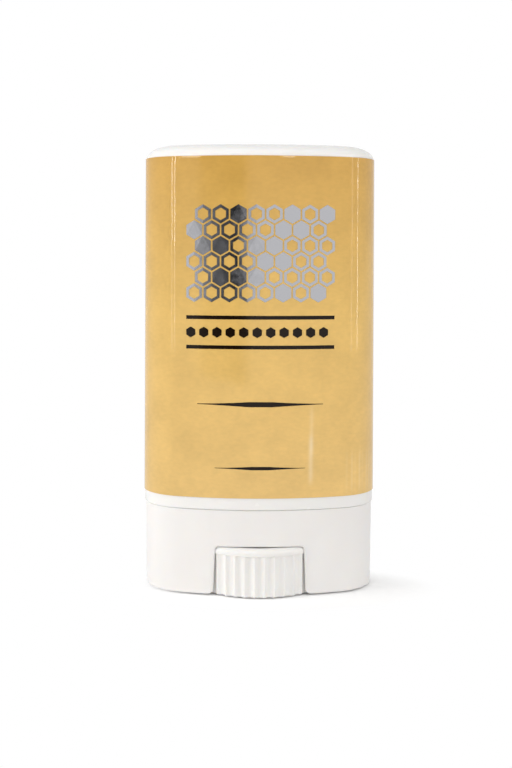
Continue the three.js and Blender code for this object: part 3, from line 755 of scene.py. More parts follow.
# %% Sizes of the case
LIP = heights_of("barrel")[1]
WHEEL_FOOT, WHEEL_TOP = heights_of("thumbwheel")
WHEEL_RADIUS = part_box("thumbwheel")[1][1] / MM
JOINT_GAP, BOSS_GAP, BOSS_HEIGHT, FLOOR_WALL = 0.06, 0.3, 1.8, 1.2
WINDOW_TOP = WHEEL_TOP + JOINT_GAP
BOSS_FOOT = WHEEL_TOP + BOSS_GAP
FLOOR = BOSS_FOOT + BOSS_HEIGHT
FLOOR_TOP = FLOOR + FLOOR_WALL
SHOULDER = CAP_RIM - JOINT_GAP
BORE_RADIUS, BOSS_RADIUS = 2.55, 4.2
SKIRT_STEP, SKIRT_WALL = 0.17, 1.3
WINDOW_HALF, WINDOW_CORNER = 6.775, 0.6
WINDOW_FLARE, WINDOW_FOOT = 0.25, 0.8
WINDOW_EDGE, FOOT_EDGE = 0.3, 0.1
FOOT_GAP, FOOT_STEP, FOOT_SLOPE = 0.28, 1.1, 0.06
# Inside the wall the window widens until it clears the wheel.
WHEEL_CLEAR, WELL_MARGIN, NUDGE = 0.35, 1.5, 1e-6
INNER_BOW = BOW_RADIUS - SKIRT_STEP - SKIRT_WALL
WELL_WAY = BOW_RADIUS * math.acos(
    (INNER_BOW ** 2 + BOW_CENTRE ** 2 - (WHEEL_RADIUS + WHEEL_CLEAR) ** 2)
    / (2 * INNER_BOW * BOW_CENTRE)
)
WELL_END = WELL_WAY + WELL_MARGIN
print(f"case: shoulder {SHOULDER:.2f} mm and lip {LIP:.2f} mm above the table")


# %% The skirt's lower edge
def bow_way(x):
    """The way along the outline of a skirt point that lies x mm from the middle."""
    return BOW_RADIUS * math.asin(x / (BOW_RADIUS - SKIRT_STEP))


def quarter_edge():
    """Steps of the lower edge from the middle of the front to the right-hand end.

    Each step holds the way, the height, the direction into the material, the radius of the rounded
    edge and how far the foot drops behind it: the case stands on a rim set back from its outside.
    """
    corner_x, corner_z = WINDOW_HALF - WINDOW_CORNER, WINDOW_TOP - WINDOW_CORNER
    foot_x, foot_z = WINDOW_HALF + WINDOW_FLARE + WINDOW_FOOT, FOOT_GAP + WINDOW_FOOT
    steps = [(x, WINDOW_TOP, 0.0, 1.0, 0.0) for x in spread(0, corner_x, 26)[:-1]]
    for turn in spread(math.pi / 2, 0, 9):
        run, lift = math.cos(turn), math.sin(turn)
        steps.append((corner_x + WINDOW_CORNER * run, corner_z + WINDOW_CORNER * lift,
                      run, lift, 0.0))
    for share in spread(0, 1, 14)[1:-1]:
        steps.append((WINDOW_HALF + WINDOW_FLARE * share, corner_z + (foot_z - corner_z) * share,
                      1.0, 0.0, 0.0))
    for share in spread(0, 1, 9):
        turn = math.pi * (1 + share / 2)
        run, lift = math.cos(turn), math.sin(turn)
        steps.append((foot_x + WINDOW_FOOT * run, foot_z + WINDOW_FOOT * lift, -run, -lift, share))
    steps = [(bow_way(x), z, run, lift, foot) for x, z, run, lift, foot in steps]
    for way in spread(steps[-1][0], GIRTH / 4, 32)[1:]:
        steps.append((way, FOOT_GAP, 0.0, 1.0, 1.0))
    return [
        (way, z, run, lift, WINDOW_EDGE + (FOOT_EDGE - WINDOW_EDGE) * foot, FOOT_GAP * foot)
        for way, z, run, lift, foot in steps
    ]


def whole_edge():
    """The lower edge all the way round, by mirroring the quarter."""
    quarter = quarter_edge()
    half = quarter + [(GIRTH / 2 - w, z, -run, *rest) for w, z, run, *rest in quarter[-2::-1]]
    return half + [(GIRTH - w, z, -run, *rest) for w, z, run, *rest in half[-2:0:-1]]


def from_window(way):
    """How far a point of the outline lies from the middle of the nearer window."""
    return min(way % (GIRTH / 2), GIRTH / 2 - way % (GIRTH / 2))


def well_way(way):
    """Where a column arrives on the inner wall: the windows widen inwards round the wheel."""
    off = from_window(way)
    start = bow_way(WINDOW_HALF - WINDOW_CORNER) - NUDGE
    if off < start or off > WELL_END:
        return way
    wider = WELL_WAY + (off - start) * (WELL_END - WELL_WAY) / (WELL_END - start)
    back = way % (GIRTH / 2) > GIRTH / 4
    return way + (off - wider if back else wider - off)


LOWER_EDGE = whole_edge()
print(f"lower edge of the skirt: {len(LOWER_EDGE)} steps")

# %% Tube and shoulder
TUBE_OUTSIDE, TUBE_LIP, LIP_ROUND, LIP_BAND = 1.55, 0.85, 0.28, 1
BEAD_Z, BEAD_HALF, BEAD_RISE = CAP_RIM + 2.8, 0.6, 0.12
SHOULDER_ROUND, FILLET_HIGH, FILLET_WIDE = 0.12, 0.3, 0.1


def tube(z):
    return TUBE_OUTSIDE + taper(z)


TUBE_INSIDE = tube(LIP) + TUBE_LIP


def tube_profile():
    """Insets and heights from the floor up the inside, over the lip and down to the shoulder."""
    top = LIP - LIP_ROUND
    profile = [(TUBE_INSIDE, z) for z in spread(FLOOR_TOP, top, 10)]
    profile += arc(TUBE_INSIDE - LIP_ROUND, top, LIP_ROUND, LIP_ROUND, 180, 90, 5)[1:]
    profile += arc(tube(LIP) + LIP_ROUND, top, LIP_ROUND, LIP_ROUND, 90, 0, 5)
    profile += [(tube(z), z) for z in spread(LIP - LIP_BAND, BEAD_Z + 2 * BEAD_HALF, 12)]
    for share in spread(1, -1, 8):
        z = BEAD_Z + BEAD_HALF * share
        profile.append((tube(z) - BEAD_RISE * (1 - share * share), z))
    profile.append((tube(SHOULDER + FILLET_HIGH), SHOULDER + FILLET_HIGH))
    profile.append((tube(SHOULDER) - FILLET_WIDE, SHOULDER))
    return profile + arc(SKIRT_STEP + SHOULDER_ROUND, SHOULDER - SHOULDER_ROUND,
                         SHOULDER_ROUND, SHOULDER_ROUND, 90, 0, 4)


print(f"tube: {LIP - SHOULDER:.1f} mm above the shoulder, {len(tube_profile())} rings")

# %% Case
EYE_HALF_WIDTH, EYE_HALF_HEIGHT, EYE_Z, EYE_RISE = 1.8, 0.5, WINDOW_TOP + 0.95, 0.07


def round_ring(radius, z, ways, inset):
    """A circle whose points lie in line with points of the oval."""
    points = (oval_point(way, inset, z) for way in ways)
    turns = (math.atan2(y, x) for x, y, _ in points)
    return [(radius * math.cos(a), radius * math.sin(a), z) for a in turns]


def grip_eye(way, z):
    """The small lens-shaped swelling above each window."""
    inside = 1 - (from_window(way) / EYE_HALF_WIDTH) ** 2 - ((z - EYE_Z) / EYE_HALF_HEIGHT) ** 2
    return EYE_RISE * max(0.0, inside)


def case_rings():
    ways = [way + run * radius for way, z, run, lift, radius, drop in LOWER_EDGE]
    starts = [z + lift * radius for way, z, run, lift, radius, drop in LOWER_EDGE]
    rings = [round_ring(BORE_RADIUS, FLOOR_TOP, ways, 0)]
    rings += [[oval_point(way, inset, z) for way in ways] for inset, z in tube_profile()]
    high = SHOULDER - SHOULDER_ROUND
    for share in spread(0, 1, 26)[1:]:
        levels = [high + (start - high) * share for start in starts]
        rings.append([oval_point(way, SKIRT_STEP - grip_eye(way, z), z)
                      for way, z in zip(ways, levels)])
    for turn in spread(0, math.pi / 2, 6)[1:]:
        ring = []
        for way, z, run, lift, radius, drop in LOWER_EDGE:
            off, depth = radius * (1 - math.sin(turn)), radius * (1 - math.cos(turn))
            ring.append(oval_point(way + run * off, SKIRT_STEP + depth, z + lift * off))
        rings.append(ring)
    for depth, dropped in ((FOOT_STEP, 0), (FOOT_STEP + FOOT_SLOPE, 1), (SKIRT_WALL, 1)):
        share = depth / SKIRT_WALL
        rings.append([
            oval_point(way + (well_way(way) - way) * share, SKIRT_STEP + depth, z - drop * dropped)
            for way, z, run, lift, radius, drop in LOWER_EDGE
        ])
    inner_ways = [well_way(step[0]) for step in LOWER_EDGE]
    lows = [z - drop for way, z, run, lift, radius, drop in LOWER_EDGE]
    inside = SKIRT_STEP + SKIRT_WALL
    for share in spread(0, 1, 4)[1:]:
        rings.append([oval_point(way, inside, low + (FLOOR - low) * share)
                      for way, low in zip(inner_ways, lows)])
    for radius, z in ((BOSS_RADIUS, FLOOR), (BOSS_RADIUS, BOSS_FOOT), (BORE_RADIUS, BOSS_FOOT)):
        rings.append(round_ring(radius, z, inner_ways, inside))
    return rings


case = skin("case", case_rings(), case_white, loop=True)
stands_for(case, "barrel", "case")

# %% [markdown]
# ## Thumbwheel
# The wheel is a shallow cup with a smooth band round its top and concave flutes below it for the
# thumb. The cup is turned: rings from the hex socket in its hub over the rim and under its face. The
# flutes repeat 44 times by one rule, so Geometry Nodes presses them in: each point of the outside
# moves towards the axis by an amount that depends on its angle, and the flute runs out just under the
# band. The same tree sets six spokes between hub and wall and joins them with a boolean.

# %% Wheel blank
WHEEL_WALL, WHEEL_FACE, BAND = 1.7, 1.6, 1.0
DISH_RADIUS, DISH_DEPTH = 7.8, 0.5
HEX_RADIUS, HEX_GAP, HUB_WALL = 2.1, 0.15, 1.6
FLUTES, FLUTE_DEPTH, FLUTE_RUN_OUT, FLUTE_REACH, FLUTE_LAND = 44, 0.3, 0.08, 0.6, 1.1
SPOKES, SPOKE_WIDTH, SPOKE_DROP = 6, 1.0, 1.8
WHEEL_EDGE, BAND_WIDE, BAND_HIGH, FOOT_ROUND = 0.2, 0.6, 0.7, 0.28
# Rows of points crowd together where the flutes run out: heights about the foot of the band.
RUN_ABOVE, RUN_BELOW, ROWS_BELOW, ROWS_END = 0.1, 0.2, 0.5, 0.3
WHEEL_STEPS = FLUTES * 12


def turned_ring(radius, z, sides=WHEEL_STEPS):
    turns = spread(0, 2 * math.pi, sides)[:-1]
    return [(radius * math.cos(a), radius * math.sin(a), z) for a in turns]


def hex_ring(radius, z, sides=WHEEL_STEPS):
    """A hexagon with a corner on the Y axis, as a ring of many points."""
    ring, sixth = [], math.pi / 6
    for a in spread(0, 2 * math.pi, sides)[:-1]:
        reach = radius * math.cos(sixth) / math.cos(a % (math.pi / 3) - sixth)
        ring.append((reach * math.cos(a + sixth), reach * math.sin(a + sixth), z))
    first = min(range(sides), key=lambda i: abs(math.atan2(ring[i][1], ring[i][0])))
    return ring[first:] + ring[:first]


def wheel_rings():
    foot, top, face = WHEEL_FOOT, WHEEL_TOP, WHEEL_FOOT + WHEEL_FACE
    socket, cup, band_foot = HEX_RADIUS + HEX_GAP, WHEEL_RADIUS - WHEEL_WALL, top - BAND
    hub = socket + HUB_WALL
    rings = [[(0, 0, face)], hex_ring(socket, face), hex_ring(socket, top)]
    inside = [
        (hub - WHEEL_EDGE, top), (hub, top - WHEEL_EDGE), (hub, face), (cup, face),
        (cup, top - WHEEL_EDGE), (cup + WHEEL_EDGE, top),
    ]
    rings += [turned_ring(*at) for at in inside]
    outside = arc(BAND_WIDE, top - BAND_HIGH, BAND_WIDE, BAND_HIGH, 90, 0, 10)
    outside += [(0, z) for z in spread(band_foot + RUN_ABOVE, band_foot - RUN_BELOW, 10)]
    outside += [(0, z) for z in spread(band_foot - ROWS_BELOW, foot + ROWS_END, 12)]
    outside += arc(FOOT_ROUND, foot + FOOT_ROUND, FOOT_ROUND, FOOT_ROUND, 0, -90, 4)
    rings += [turned_ring(WHEEL_RADIUS - inset, z) for inset, z in outside]
    rings += [turned_ring(DISH_RADIUS + DISH_DEPTH, foot), turned_ring(DISH_RADIUS, foot + DISH_DEPTH)]
    return rings + [[(0, 0, foot + DISH_DEPTH)]]


blank = skin("wheel_blank", wheel_rings(), wheel_white)


# %% Fluting tree
def fluting_tree():
    """Presses flutes into a wheel and sets spokes in it."""
    tree, given = new_tree(
        "fluting", Int=("Flutes", "Spokes"), Float=("Depth", "Top", "Run Out", "Outside"),
        Vector=("Spoke Size", "Spoke Middle"),
    )
    at = add(tree, "ShaderNodeSeparateXYZ", {
        "Vector": add(tree, "GeometryNodeInputPosition"),
    }).outputs

    # Across one flute: 0 on its middle and 1 on the ridge beside it, with a narrow land.
    across = add(tree, "ShaderNodeMath", {0: at["Y"], 1: at["X"]}, operation="ARCTAN2")
    for operation, value in (
        ("MULTIPLY", 1 / (2 * math.pi)), ("MULTIPLY", given["Flutes"]), ("PINGPONG", 0.5),
        ("MULTIPLY", 2 * FLUTE_LAND), ("MINIMUM", 1.0), ("POWER", 2.0),
    ):
        across = add(tree, "ShaderNodeMath", {0: across, 1: value}, operation=operation)
    inwards = add(tree, "ShaderNodeMath", {0: 1.0, 1: across}, operation="SUBTRACT")

    # Up the flute: full depth until it runs out under the band.
    below = add(tree, "ShaderNodeMath", {0: given["Top"], 1: at["Z"]}, operation="SUBTRACT")
    ramp = add(tree, "ShaderNodeMath", {0: below, 1: given["Run Out"]}, operation="DIVIDE",
               use_clamp=True)
    for factor in (ramp, given["Depth"], -1.0):
        inwards = add(tree, "ShaderNodeMath", {0: inwards, 1: factor}, operation="MULTIPLY")
    flat = add(tree, "ShaderNodeCombineXYZ", {"X": at["X"], "Y": at["Y"]})
    reach = add(tree, "ShaderNodeVectorMath", {0: flat}, operation="LENGTH").outputs["Value"]
    outwards = add(tree, "ShaderNodeVectorMath", {0: flat}, operation="NORMALIZE")
    move = add(tree, "ShaderNodeVectorMath", {0: outwards, "Scale": inwards}, operation="SCALE")
    outside = add(tree, "ShaderNodeMath", {0: reach, 1: given["Outside"]}, operation="GREATER_THAN")
    fluted = add(tree, "GeometryNodeSetPosition", {
        "Geometry": given["Geometry"], "Selection": outside, "Offset": move,
    })

    spoke = add(tree, "GeometryNodeMeshCube", {"Size": given["Spoke Size"]})
    set_out = add(tree, "GeometryNodeTransform", {
        "Geometry": spoke, "Translation": given["Spoke Middle"],
    })
    hub = add(tree, "GeometryNodePoints", {"Count": given["Spokes"]})
    step = add(tree, "ShaderNodeMath", {0: 2 * math.pi, 1: given["Spokes"]}, operation="DIVIDE")
    index = add(tree, "GeometryNodeInputIndex")
    angle = add(tree, "ShaderNodeMath", {0: index, 1: step}, operation="MULTIPLY")
    around = add(tree, "ShaderNodeCombineXYZ", {"Z": angle})
    spokes = add(tree, "GeometryNodeInstanceOnPoints", {
        "Points": hub, "Instance": set_out, "Rotation": around,
    })
    solid_spokes = add(tree, "GeometryNodeRealizeInstances", {"Geometry": spokes})
    joined = add(tree, "GeometryNodeMeshBoolean", {
        "Mesh 2": [fluted, solid_spokes],
    }, operation="UNION")
    return end_tree(tree, joined, given["Material"])


fluting = fluting_tree()
print(f"fluting tree: {len(fluting.nodes)} nodes")

# %% Thumbwheel
spoke_low, spoke_high = WHEEL_FOOT + WHEEL_FACE / 2, WHEEL_TOP - SPOKE_DROP
spoke_in, spoke_out = HEX_RADIUS + HEX_GAP + HUB_WALL / 2, WHEEL_RADIUS - WHEEL_WALL / 2
wheel = grown("thumbwheel_fluted", fluting, {
    "Flutes": FLUTES, "Depth": FLUTE_DEPTH * MM, "Run Out": FLUTE_RUN_OUT * MM,
    "Top": (WHEEL_TOP - BAND) * MM, "Outside": (WHEEL_RADIUS - FLUTE_REACH) * MM,
    "Spokes": SPOKES,
    "Spoke Size": Vector((spoke_out - spoke_in, SPOKE_WIDTH, spoke_high - spoke_low)) * MM,
    "Spoke Middle": Vector(((spoke_in + spoke_out) / 2, 0, (spoke_low + spoke_high) / 2)) * MM,
    "Material": wheel_white,
}, blank)
wheel.data.set_sharp_from_angle(angle=CREASE)
stands_for(wheel, "thumbwheel", "drive")

# %% [markdown]
# ## Lead screw
# The screw turns with the wheel and lifts the wax. It is left-handed with a coarse 4 mm lead, moulded
# in natural acetal: ivory, slightly see-through at thin edges, with a waxy sheen. The shaft is turned.
# The flight follows a path, so a tree draws the helix as a curve, sweeps a trapezoid along it and
# joins it to the shaft.

# %% Screw finish and shaft
natural_acetal, tree, place = new_finish("natural_acetal")
flow = add(tree, "ShaderNodeTexNoise", {"Vector": place, "Scale": PER_MM / 4, "Detail": 3.0})
flow_tint = stops(
    add(tree, "ShaderNodeValToRGB", {"Fac": flow}), (0.0, linear("#efece0")), (1.0, linear("#f6f3ea")),
)
shader = add(tree, "ShaderNodeBsdfPrincipled", {
    "Base Color": flow_tint,
    "Roughness": 0.38,
    "IOR": 1.48,
    "Subsurface Weight": 0.15,
    "Subsurface Radius": (1.0, 0.9, 0.8),
    "Subsurface Scale": 0.8 * MM,
})
add(tree, "ShaderNodeOutputMaterial", {"Surface": shader})

SCREW_LEAD, CORE_RADIUS, CREST_RADIUS = 4.0, 1.75, 2.4
HEX_FOOT, SCREW_TOP = heights_of("lead_screw")
COLLAR_RADIUS, COLLAR_GAP, COLLAR_HEIGHT, COLLAR_EDGE = 3.0, 0.15, 1.0, 0.15
COLLAR_FOOT = FLOOR_TOP + COLLAR_GAP
COLLAR_TOP = COLLAR_FOOT + COLLAR_HEIGHT
FLIGHT_ROOT, FLIGHT_CREST, FLIGHT_SINK, FLIGHT_STEPS = 1.5, 0.9, 0.4, 400
SCREW_SIDES, SCREW_TIP = 48, 0.8


def shaft_rings():
    outline = [
        (CORE_RADIUS / 2, SCREW_TOP), (CORE_RADIUS, SCREW_TOP - SCREW_TIP), (CORE_RADIUS, COLLAR_TOP),
        (COLLAR_RADIUS - COLLAR_EDGE, COLLAR_TOP), (COLLAR_RADIUS, COLLAR_TOP - COLLAR_EDGE),
        (COLLAR_RADIUS, COLLAR_FOOT), (CREST_RADIUS, COLLAR_FOOT), (CREST_RADIUS, WHEEL_TOP),
    ]
    rings = [[(0, 0, SCREW_TOP)]] + [turned_ring(r, z, SCREW_SIDES) for r, z in outline]
    rings += [hex_ring(HEX_RADIUS, z, SCREW_SIDES) for z in (WHEEL_TOP, HEX_FOOT)]
    return rings + [[(0, 0, HEX_FOOT)]]


shaft = skin("shaft", shaft_rings(), natural_acetal)


# %% Flight tree
def flight_tree():
    """Sweeps a trapezoid along a left-hand helix and joins it to a shaft."""
    tree, given = new_tree(
        "flight", Int=("Steps",), Float=("Lead", "Radius", "Root", "Crest", "Rise"),
        Vector=("Low", "High"),
    )
    line = add(tree, "GeometryNodeCurvePrimitiveLine", {"Start": given["Low"], "End": given["High"]})
    fine = add(tree, "GeometryNodeResampleCurve", {"Curve": line, "Count": given["Steps"]})
    z = add(tree, "ShaderNodeSeparateXYZ", {
        "Vector": add(tree, "GeometryNodeInputPosition"),
    }).outputs["Z"]
    turns = add(tree, "ShaderNodeMath", {0: z, 1: given["Lead"]}, operation="DIVIDE")
    angle = add(tree, "ShaderNodeMath", {0: turns, 1: -2 * math.pi}, operation="MULTIPLY")
    cosine = add(tree, "ShaderNodeMath", {0: angle}, operation="COSINE")
    sine = add(tree, "ShaderNodeMath", {0: angle}, operation="SINE")
    x = add(tree, "ShaderNodeMath", {0: cosine, 1: given["Radius"]}, operation="MULTIPLY")
    y = add(tree, "ShaderNodeMath", {0: sine, 1: given["Radius"]}, operation="MULTIPLY")
    spot = add(tree, "ShaderNodeCombineXYZ", {"X": x, "Y": y, "Z": z})
    helix = add(tree, "GeometryNodeSetPosition", {"Geometry": fine, "Position": spot})
    level = add(tree, "GeometryNodeSetCurveNormal", {"Curve": helix}, mode="Z_UP")
    section = add(tree, "GeometryNodeCurvePrimitiveQuadrilateral", {
        "Height": given["Rise"], "Bottom Width": given["Crest"], "Top Width": given["Root"],
        "Offset": 0.0,
    }, mode="TRAPEZOID")
    laid = add(tree, "GeometryNodeTransform", {
        "Geometry": section, "Rotation": (0.0, 0.0, math.radians(90)),
    })
    swept = add(tree, "GeometryNodeCurveToMesh", {
        "Curve": level, "Profile Curve": laid, "Fill Caps": True,
    })
    joined = add(tree, "GeometryNodeMeshBoolean", {
        "Mesh 2": [given["Geometry"], swept],
    }, operation="UNION")
    return end_tree(tree, joined, given["Material"])


helix_flight = flight_tree()
print(f"flight tree: {len(helix_flight.nodes)} nodes")

# %% Lead screw
flight_low, flight_high = COLLAR_TOP + FLIGHT_ROOT, SCREW_TOP - SCREW_TIP - FLIGHT_ROOT / 2
flight_rise = CREST_RADIUS - CORE_RADIUS + FLIGHT_SINK
screw = grown("lead_screw_left_hand", helix_flight, {
    "Lead": SCREW_LEAD * MM, "Radius": (CREST_RADIUS - flight_rise / 2) * MM,
    "Low": Vector((0, 0, flight_low)) * MM, "High": Vector((0, 0, flight_high)) * MM,
    "Steps": FLIGHT_STEPS, "Root": FLIGHT_ROOT * MM, "Crest": FLIGHT_CREST * MM,
    "Rise": flight_rise * MM, "Material": natural_acetal,
}, shaft)
screw.data.set_sharp_from_angle(angle=CREASE)
flight = [v.co for v in screw.data.vertices if v.co.z > flight_low * MM]
print(f"flight reaches {max(math.hypot(at.x, at.y) for at in flight) / MM:.2f} mm from the axis")
stands_for(screw, "lead_screw", "drive")

# %% [markdown]
# ## Elevator
# The cup that carries the wax stays hidden inside the tube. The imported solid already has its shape,
# with the nut, the fins and the drain holes, so it is kept and only gets its finish: the same white
# plastic from an unpolished mould.

# %% Elevator
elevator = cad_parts["elevator"]
elevator.data.materials.clear()
elevator.data.materials.append(elevator_white)
print("elevator keeps its packed shape and is finished in", elevator_white.name)

# %% [markdown]
# ## Wax
# The wax was poured warm into the tube, so it has the tube's section, a dome from the seal above it
# and a round hole where the screw passes. To the eye it is cream, a little see-through, with soft
# clouds from cooling, faint upright drag marks from the tube's wall and a few pinholes. Light that
# wanders below the surface is what makes wax look soft, so the shader scatters it.

# %% Wax finish
poured_wax, tree, place = new_finish("poured_wax")
bloom = add(tree, "ShaderNodeTexNoise", {"Vector": place, "Scale": PER_MM / 6, "Detail": 4.0})
bloom_tint = stops(
    add(tree, "ShaderNodeValToRGB", {"Fac": bloom}), (0.3, linear("#ecdcae")), (0.7, linear("#f4e8c6")),
)
drag = add(tree, "ShaderNodeMapping", {"Vector": place, "Scale": (1.0, 1.0, 0.04)})
drag_mark = add(tree, "ShaderNodeTexNoise", {"Vector": drag, "Scale": PER_MM / 0.8, "Detail": 3.0})
pit = add(tree, "ShaderNodeTexVoronoi", {"Vector": place, "Scale": PER_MM / 2.2})
pit_depth = add(tree, "ShaderNodeMapRange", {"Value": pit, "From Min": 0.02, "From Max": 0.12})
drag_bump = add(tree, "ShaderNodeBump", {
    "Height": drag_mark, "Strength": 0.25, "Distance": 0.08 * MM,
})
pit_bump = add(tree, "ShaderNodeBump", {
    "Height": pit_depth, "Strength": 0.4, "Distance": 0.08 * MM, "Normal": drag_bump,
})
shader = add(tree, "ShaderNodeBsdfPrincipled", {
    "Base Color": bloom_tint,
    "Roughness": 0.45,
    "IOR": 1.44,
    "Subsurface Weight": 0.35,
    "Subsurface Radius": (1.0, 0.75, 0.4),
    "Subsurface Scale": 2.0 * MM,
    "Normal": pit_bump,
})
add(tree, "ShaderNodeOutputMaterial", {"Surface": shader})
print("wax finish:", poured_wax.name)

# %% Wax
WAX_GAP, WAX_SLIP, WAX_EDGE, WAX_LEDGE = 0.3, 0.25, 0.2, 1
WAX_FOOT, WAX_TOP = heights_of("wax_stick")
WAX_SIDE = TUBE_INSIDE + WAX_SLIP
CUP_WALL, CUP_DEPTH = 1.0, 1.8
CUP_INSIDE, CUP_TOP = TUBE_INSIDE + CUP_WALL, WAX_FOOT - WAX_GAP + CUP_DEPTH
PLUG_SLIP, PLUG_DEPTH, SEAL_WALL = 0.15, 2.0, 0.6
SEAL_PLUG = TUBE_INSIDE + PLUG_SLIP
WAX_NECK = SEAL_PLUG + SEAL_WALL + WAX_GAP
NUT_RADIUS, NUT_TOP = 4.2, heights_of("elevator")[1]


def dome_rings(inset, top, steps, low=-math.inf):
    """Rings of a dome that springs from the lip, from its top down to the height `low`."""
    turns = [math.radians(a) for a in spread(90, 0, steps)[1:]]
    rings = [(LIP + (top - LIP) * math.sin(a), math.cos(a)) for a in turns]
    return [oval_ring(inset, z, shrink) for z, shrink in rings if z > low]


def wax_rings():
    neck, cup = LIP - PLUG_DEPTH - WAX_GAP, CUP_TOP + WAX_GAP
    rings = [[(0, 0, WAX_TOP)]] + dome_rings(WAX_NECK, WAX_TOP, 28)
    profile = [(WAX_NECK, z) for z in spread(LIP, neck, 3)[1:]]
    profile += arc(WAX_SIDE + WAX_EDGE, neck - WAX_EDGE, WAX_EDGE, WAX_EDGE, 90, 0, 3)
    profile += [(WAX_SIDE, z) for z in spread(neck - WAX_LEDGE, cup, 40)]
    profile += [(CUP_INSIDE + WAX_GAP, z) for z in (cup, WAX_FOOT)]
    rings += [oval_ring(*at) for at in profile]
    for radius, z in ((NUT_RADIUS, WAX_FOOT), (NUT_RADIUS, NUT_TOP), (CREST_RADIUS, NUT_TOP),
                      (CREST_RADIUS, SCREW_TOP)):
        rings.append(round_ring(radius + WAX_GAP, z + WAX_GAP * (z > WAX_FOOT), WAYS, 0))
    return rings + [[(0, 0, SCREW_TOP + WAX_GAP)]]


wax = skin("wax", wax_rings(), poured_wax)
stands_for(wax, "wax_stick", "stick")

# %% [markdown]
# ## Inner seal
# A thin domed plug closes the tube under the cap. It is natural low-density polyethylene: milky, so
# that the cream of the wax shows through a little, with a soft gloss. It is a shell with a flange
# that sits on the lip, so its rings go over the dome, out round the flange, down the plug and back
# under the dome.

# %% Inner seal
milky_polyethylene, tree, place = new_finish("natural_polyethylene")
haze = add(tree, "ShaderNodeTexNoise", {"Vector": place, "Scale": PER_MM / 7, "Detail": 3.0})
haze_tint = stops(
    add(tree, "ShaderNodeValToRGB", {"Fac": haze}), (0.0, linear("#e6e8e5")), (1.0, linear("#f0f1ee")),
)
haze_gloss = add(tree, "ShaderNodeMapRange", {
    "Value": haze, **NOISE_SPAN, "To Min": 0.3, "To Max": 0.42,
})
shader = add(tree, "ShaderNodeBsdfPrincipled", {
    "Base Color": haze_tint, "Roughness": haze_gloss, "IOR": 1.51, "Transmission Weight": 0.3,
})
add(tree, "ShaderNodeOutputMaterial", {"Surface": shader})

SEAL_SEAT, FLANGE, FLANGE_SETBACK, SEAL_EDGE, DOME_CLEAR = 0.15, 0.7, 0.1, 0.2, 0.05
SEAL_TOP = heights_of("inner_seal")[1]


def seal_rings():
    low = LIP + SEAL_SEAT
    high, plug = low + FLANGE, LIP - PLUG_DEPTH
    inside, rim = SEAL_PLUG + SEAL_WALL, tube(LIP) + FLANGE_SETBACK + SEAL_EDGE
    profile = [(SEAL_PLUG, high)]
    profile += arc(rim, high - SEAL_EDGE, SEAL_EDGE, SEAL_EDGE, 90, 0, 4)
    profile += arc(rim, low + SEAL_EDGE, SEAL_EDGE, SEAL_EDGE, 0, -90, 4)
    profile += [(SEAL_PLUG, low), (SEAL_PLUG, plug + SEAL_EDGE), (SEAL_PLUG + SEAL_EDGE, plug)]
    profile += [(inside, plug)]
    under = dome_rings(inside, SEAL_TOP - SEAL_WALL, 26)[::-1]
    return [
        [(0, 0, SEAL_TOP)], *dome_rings(SEAL_PLUG, SEAL_TOP, 26, high + DOME_CLEAR),
        *[oval_ring(*at) for at in profile], *under, [(0, 0, SEAL_TOP - SEAL_WALL)],
    ]


seal = skin("seal_dome", seal_rings(), milky_polyethylene)
stands_for(seal, "inner_seal", "seal")

# %% [markdown]
# ## Floor and background
# The pack stands on a plain white table in front of white. The floor is a matt sheet that takes the
# shadow. Further from the pack it fades into white wherever it is seen or mirrored, so that no horizon
# shows.

# %% Floor
MIRRORED_WHITE = 0.82
FLOOR_HALF = 3.0
# The part of the sheet that shows shading is an oval round the pack and its shadow, in mm.
OVAL_SHIFT, OVAL_SQUEEZE, FADE_START, FADE_END = (-2 * MM, 4 * MM, 0.0), 0.5, 7, 12.5
# For the eye the sheet returns a little more than it gets, so that it stays white beside the shadow.
SHEET_LIT, SHEET_SEEN = 0.93, 1.1


def seen_by_eye(tree):
    """1 for a ray that is seen, mirrored or looked through, and 0 for one that only lights."""
    ray = add(tree, "ShaderNodeLightPath").outputs
    seen = ray["Is Camera Ray"]
    for other in ("Is Glossy Ray", "Is Transmission Ray"):
        seen = add(tree, "ShaderNodeMath", {0: seen, 1: ray[other]}, operation="ADD", use_clamp=True)
    return seen


def for_the_eye(tree, otherwise, seen):
    """One value for rays straight from the camera and another for all the rest."""
    direct = add(tree, "ShaderNodeLightPath").outputs["Is Camera Ray"]
    return add(tree, "ShaderNodeMapRange", {"Value": direct, "To Min": otherwise, "To Max": seen})


def sheet_object(name, corners, material):
    mesh = bpy.data.meshes.new(name)
    mesh.from_pydata(corners, [], [(0, 1, 2, 3)])
    mesh.materials.append(material)
    return placed(name, mesh)


floor_white, tree, place = new_finish("white_table")
oval = add(tree, "ShaderNodeMapping", {
    "Vector": place, "Location": OVAL_SHIFT, "Scale": (OVAL_SQUEEZE, 1.0, 1.0),
})
distance = add(tree, "ShaderNodeVectorMath", {0: oval}, operation="LENGTH").outputs["Value"]
far = add(tree, "ShaderNodeMapRange", {
    "Value": distance, "From Min": FADE_START * MM, "From Max": FADE_END * MM,
}, interpolation_type="SMOOTHSTEP")
fade_out = add(tree, "ShaderNodeMath", {0: far, 1: seen_by_eye(tree)}, operation="MULTIPLY")
near = add(tree, "ShaderNodeBsdfDiffuse", {"Color": for_the_eye(tree, SHEET_LIT, SHEET_SEEN)})
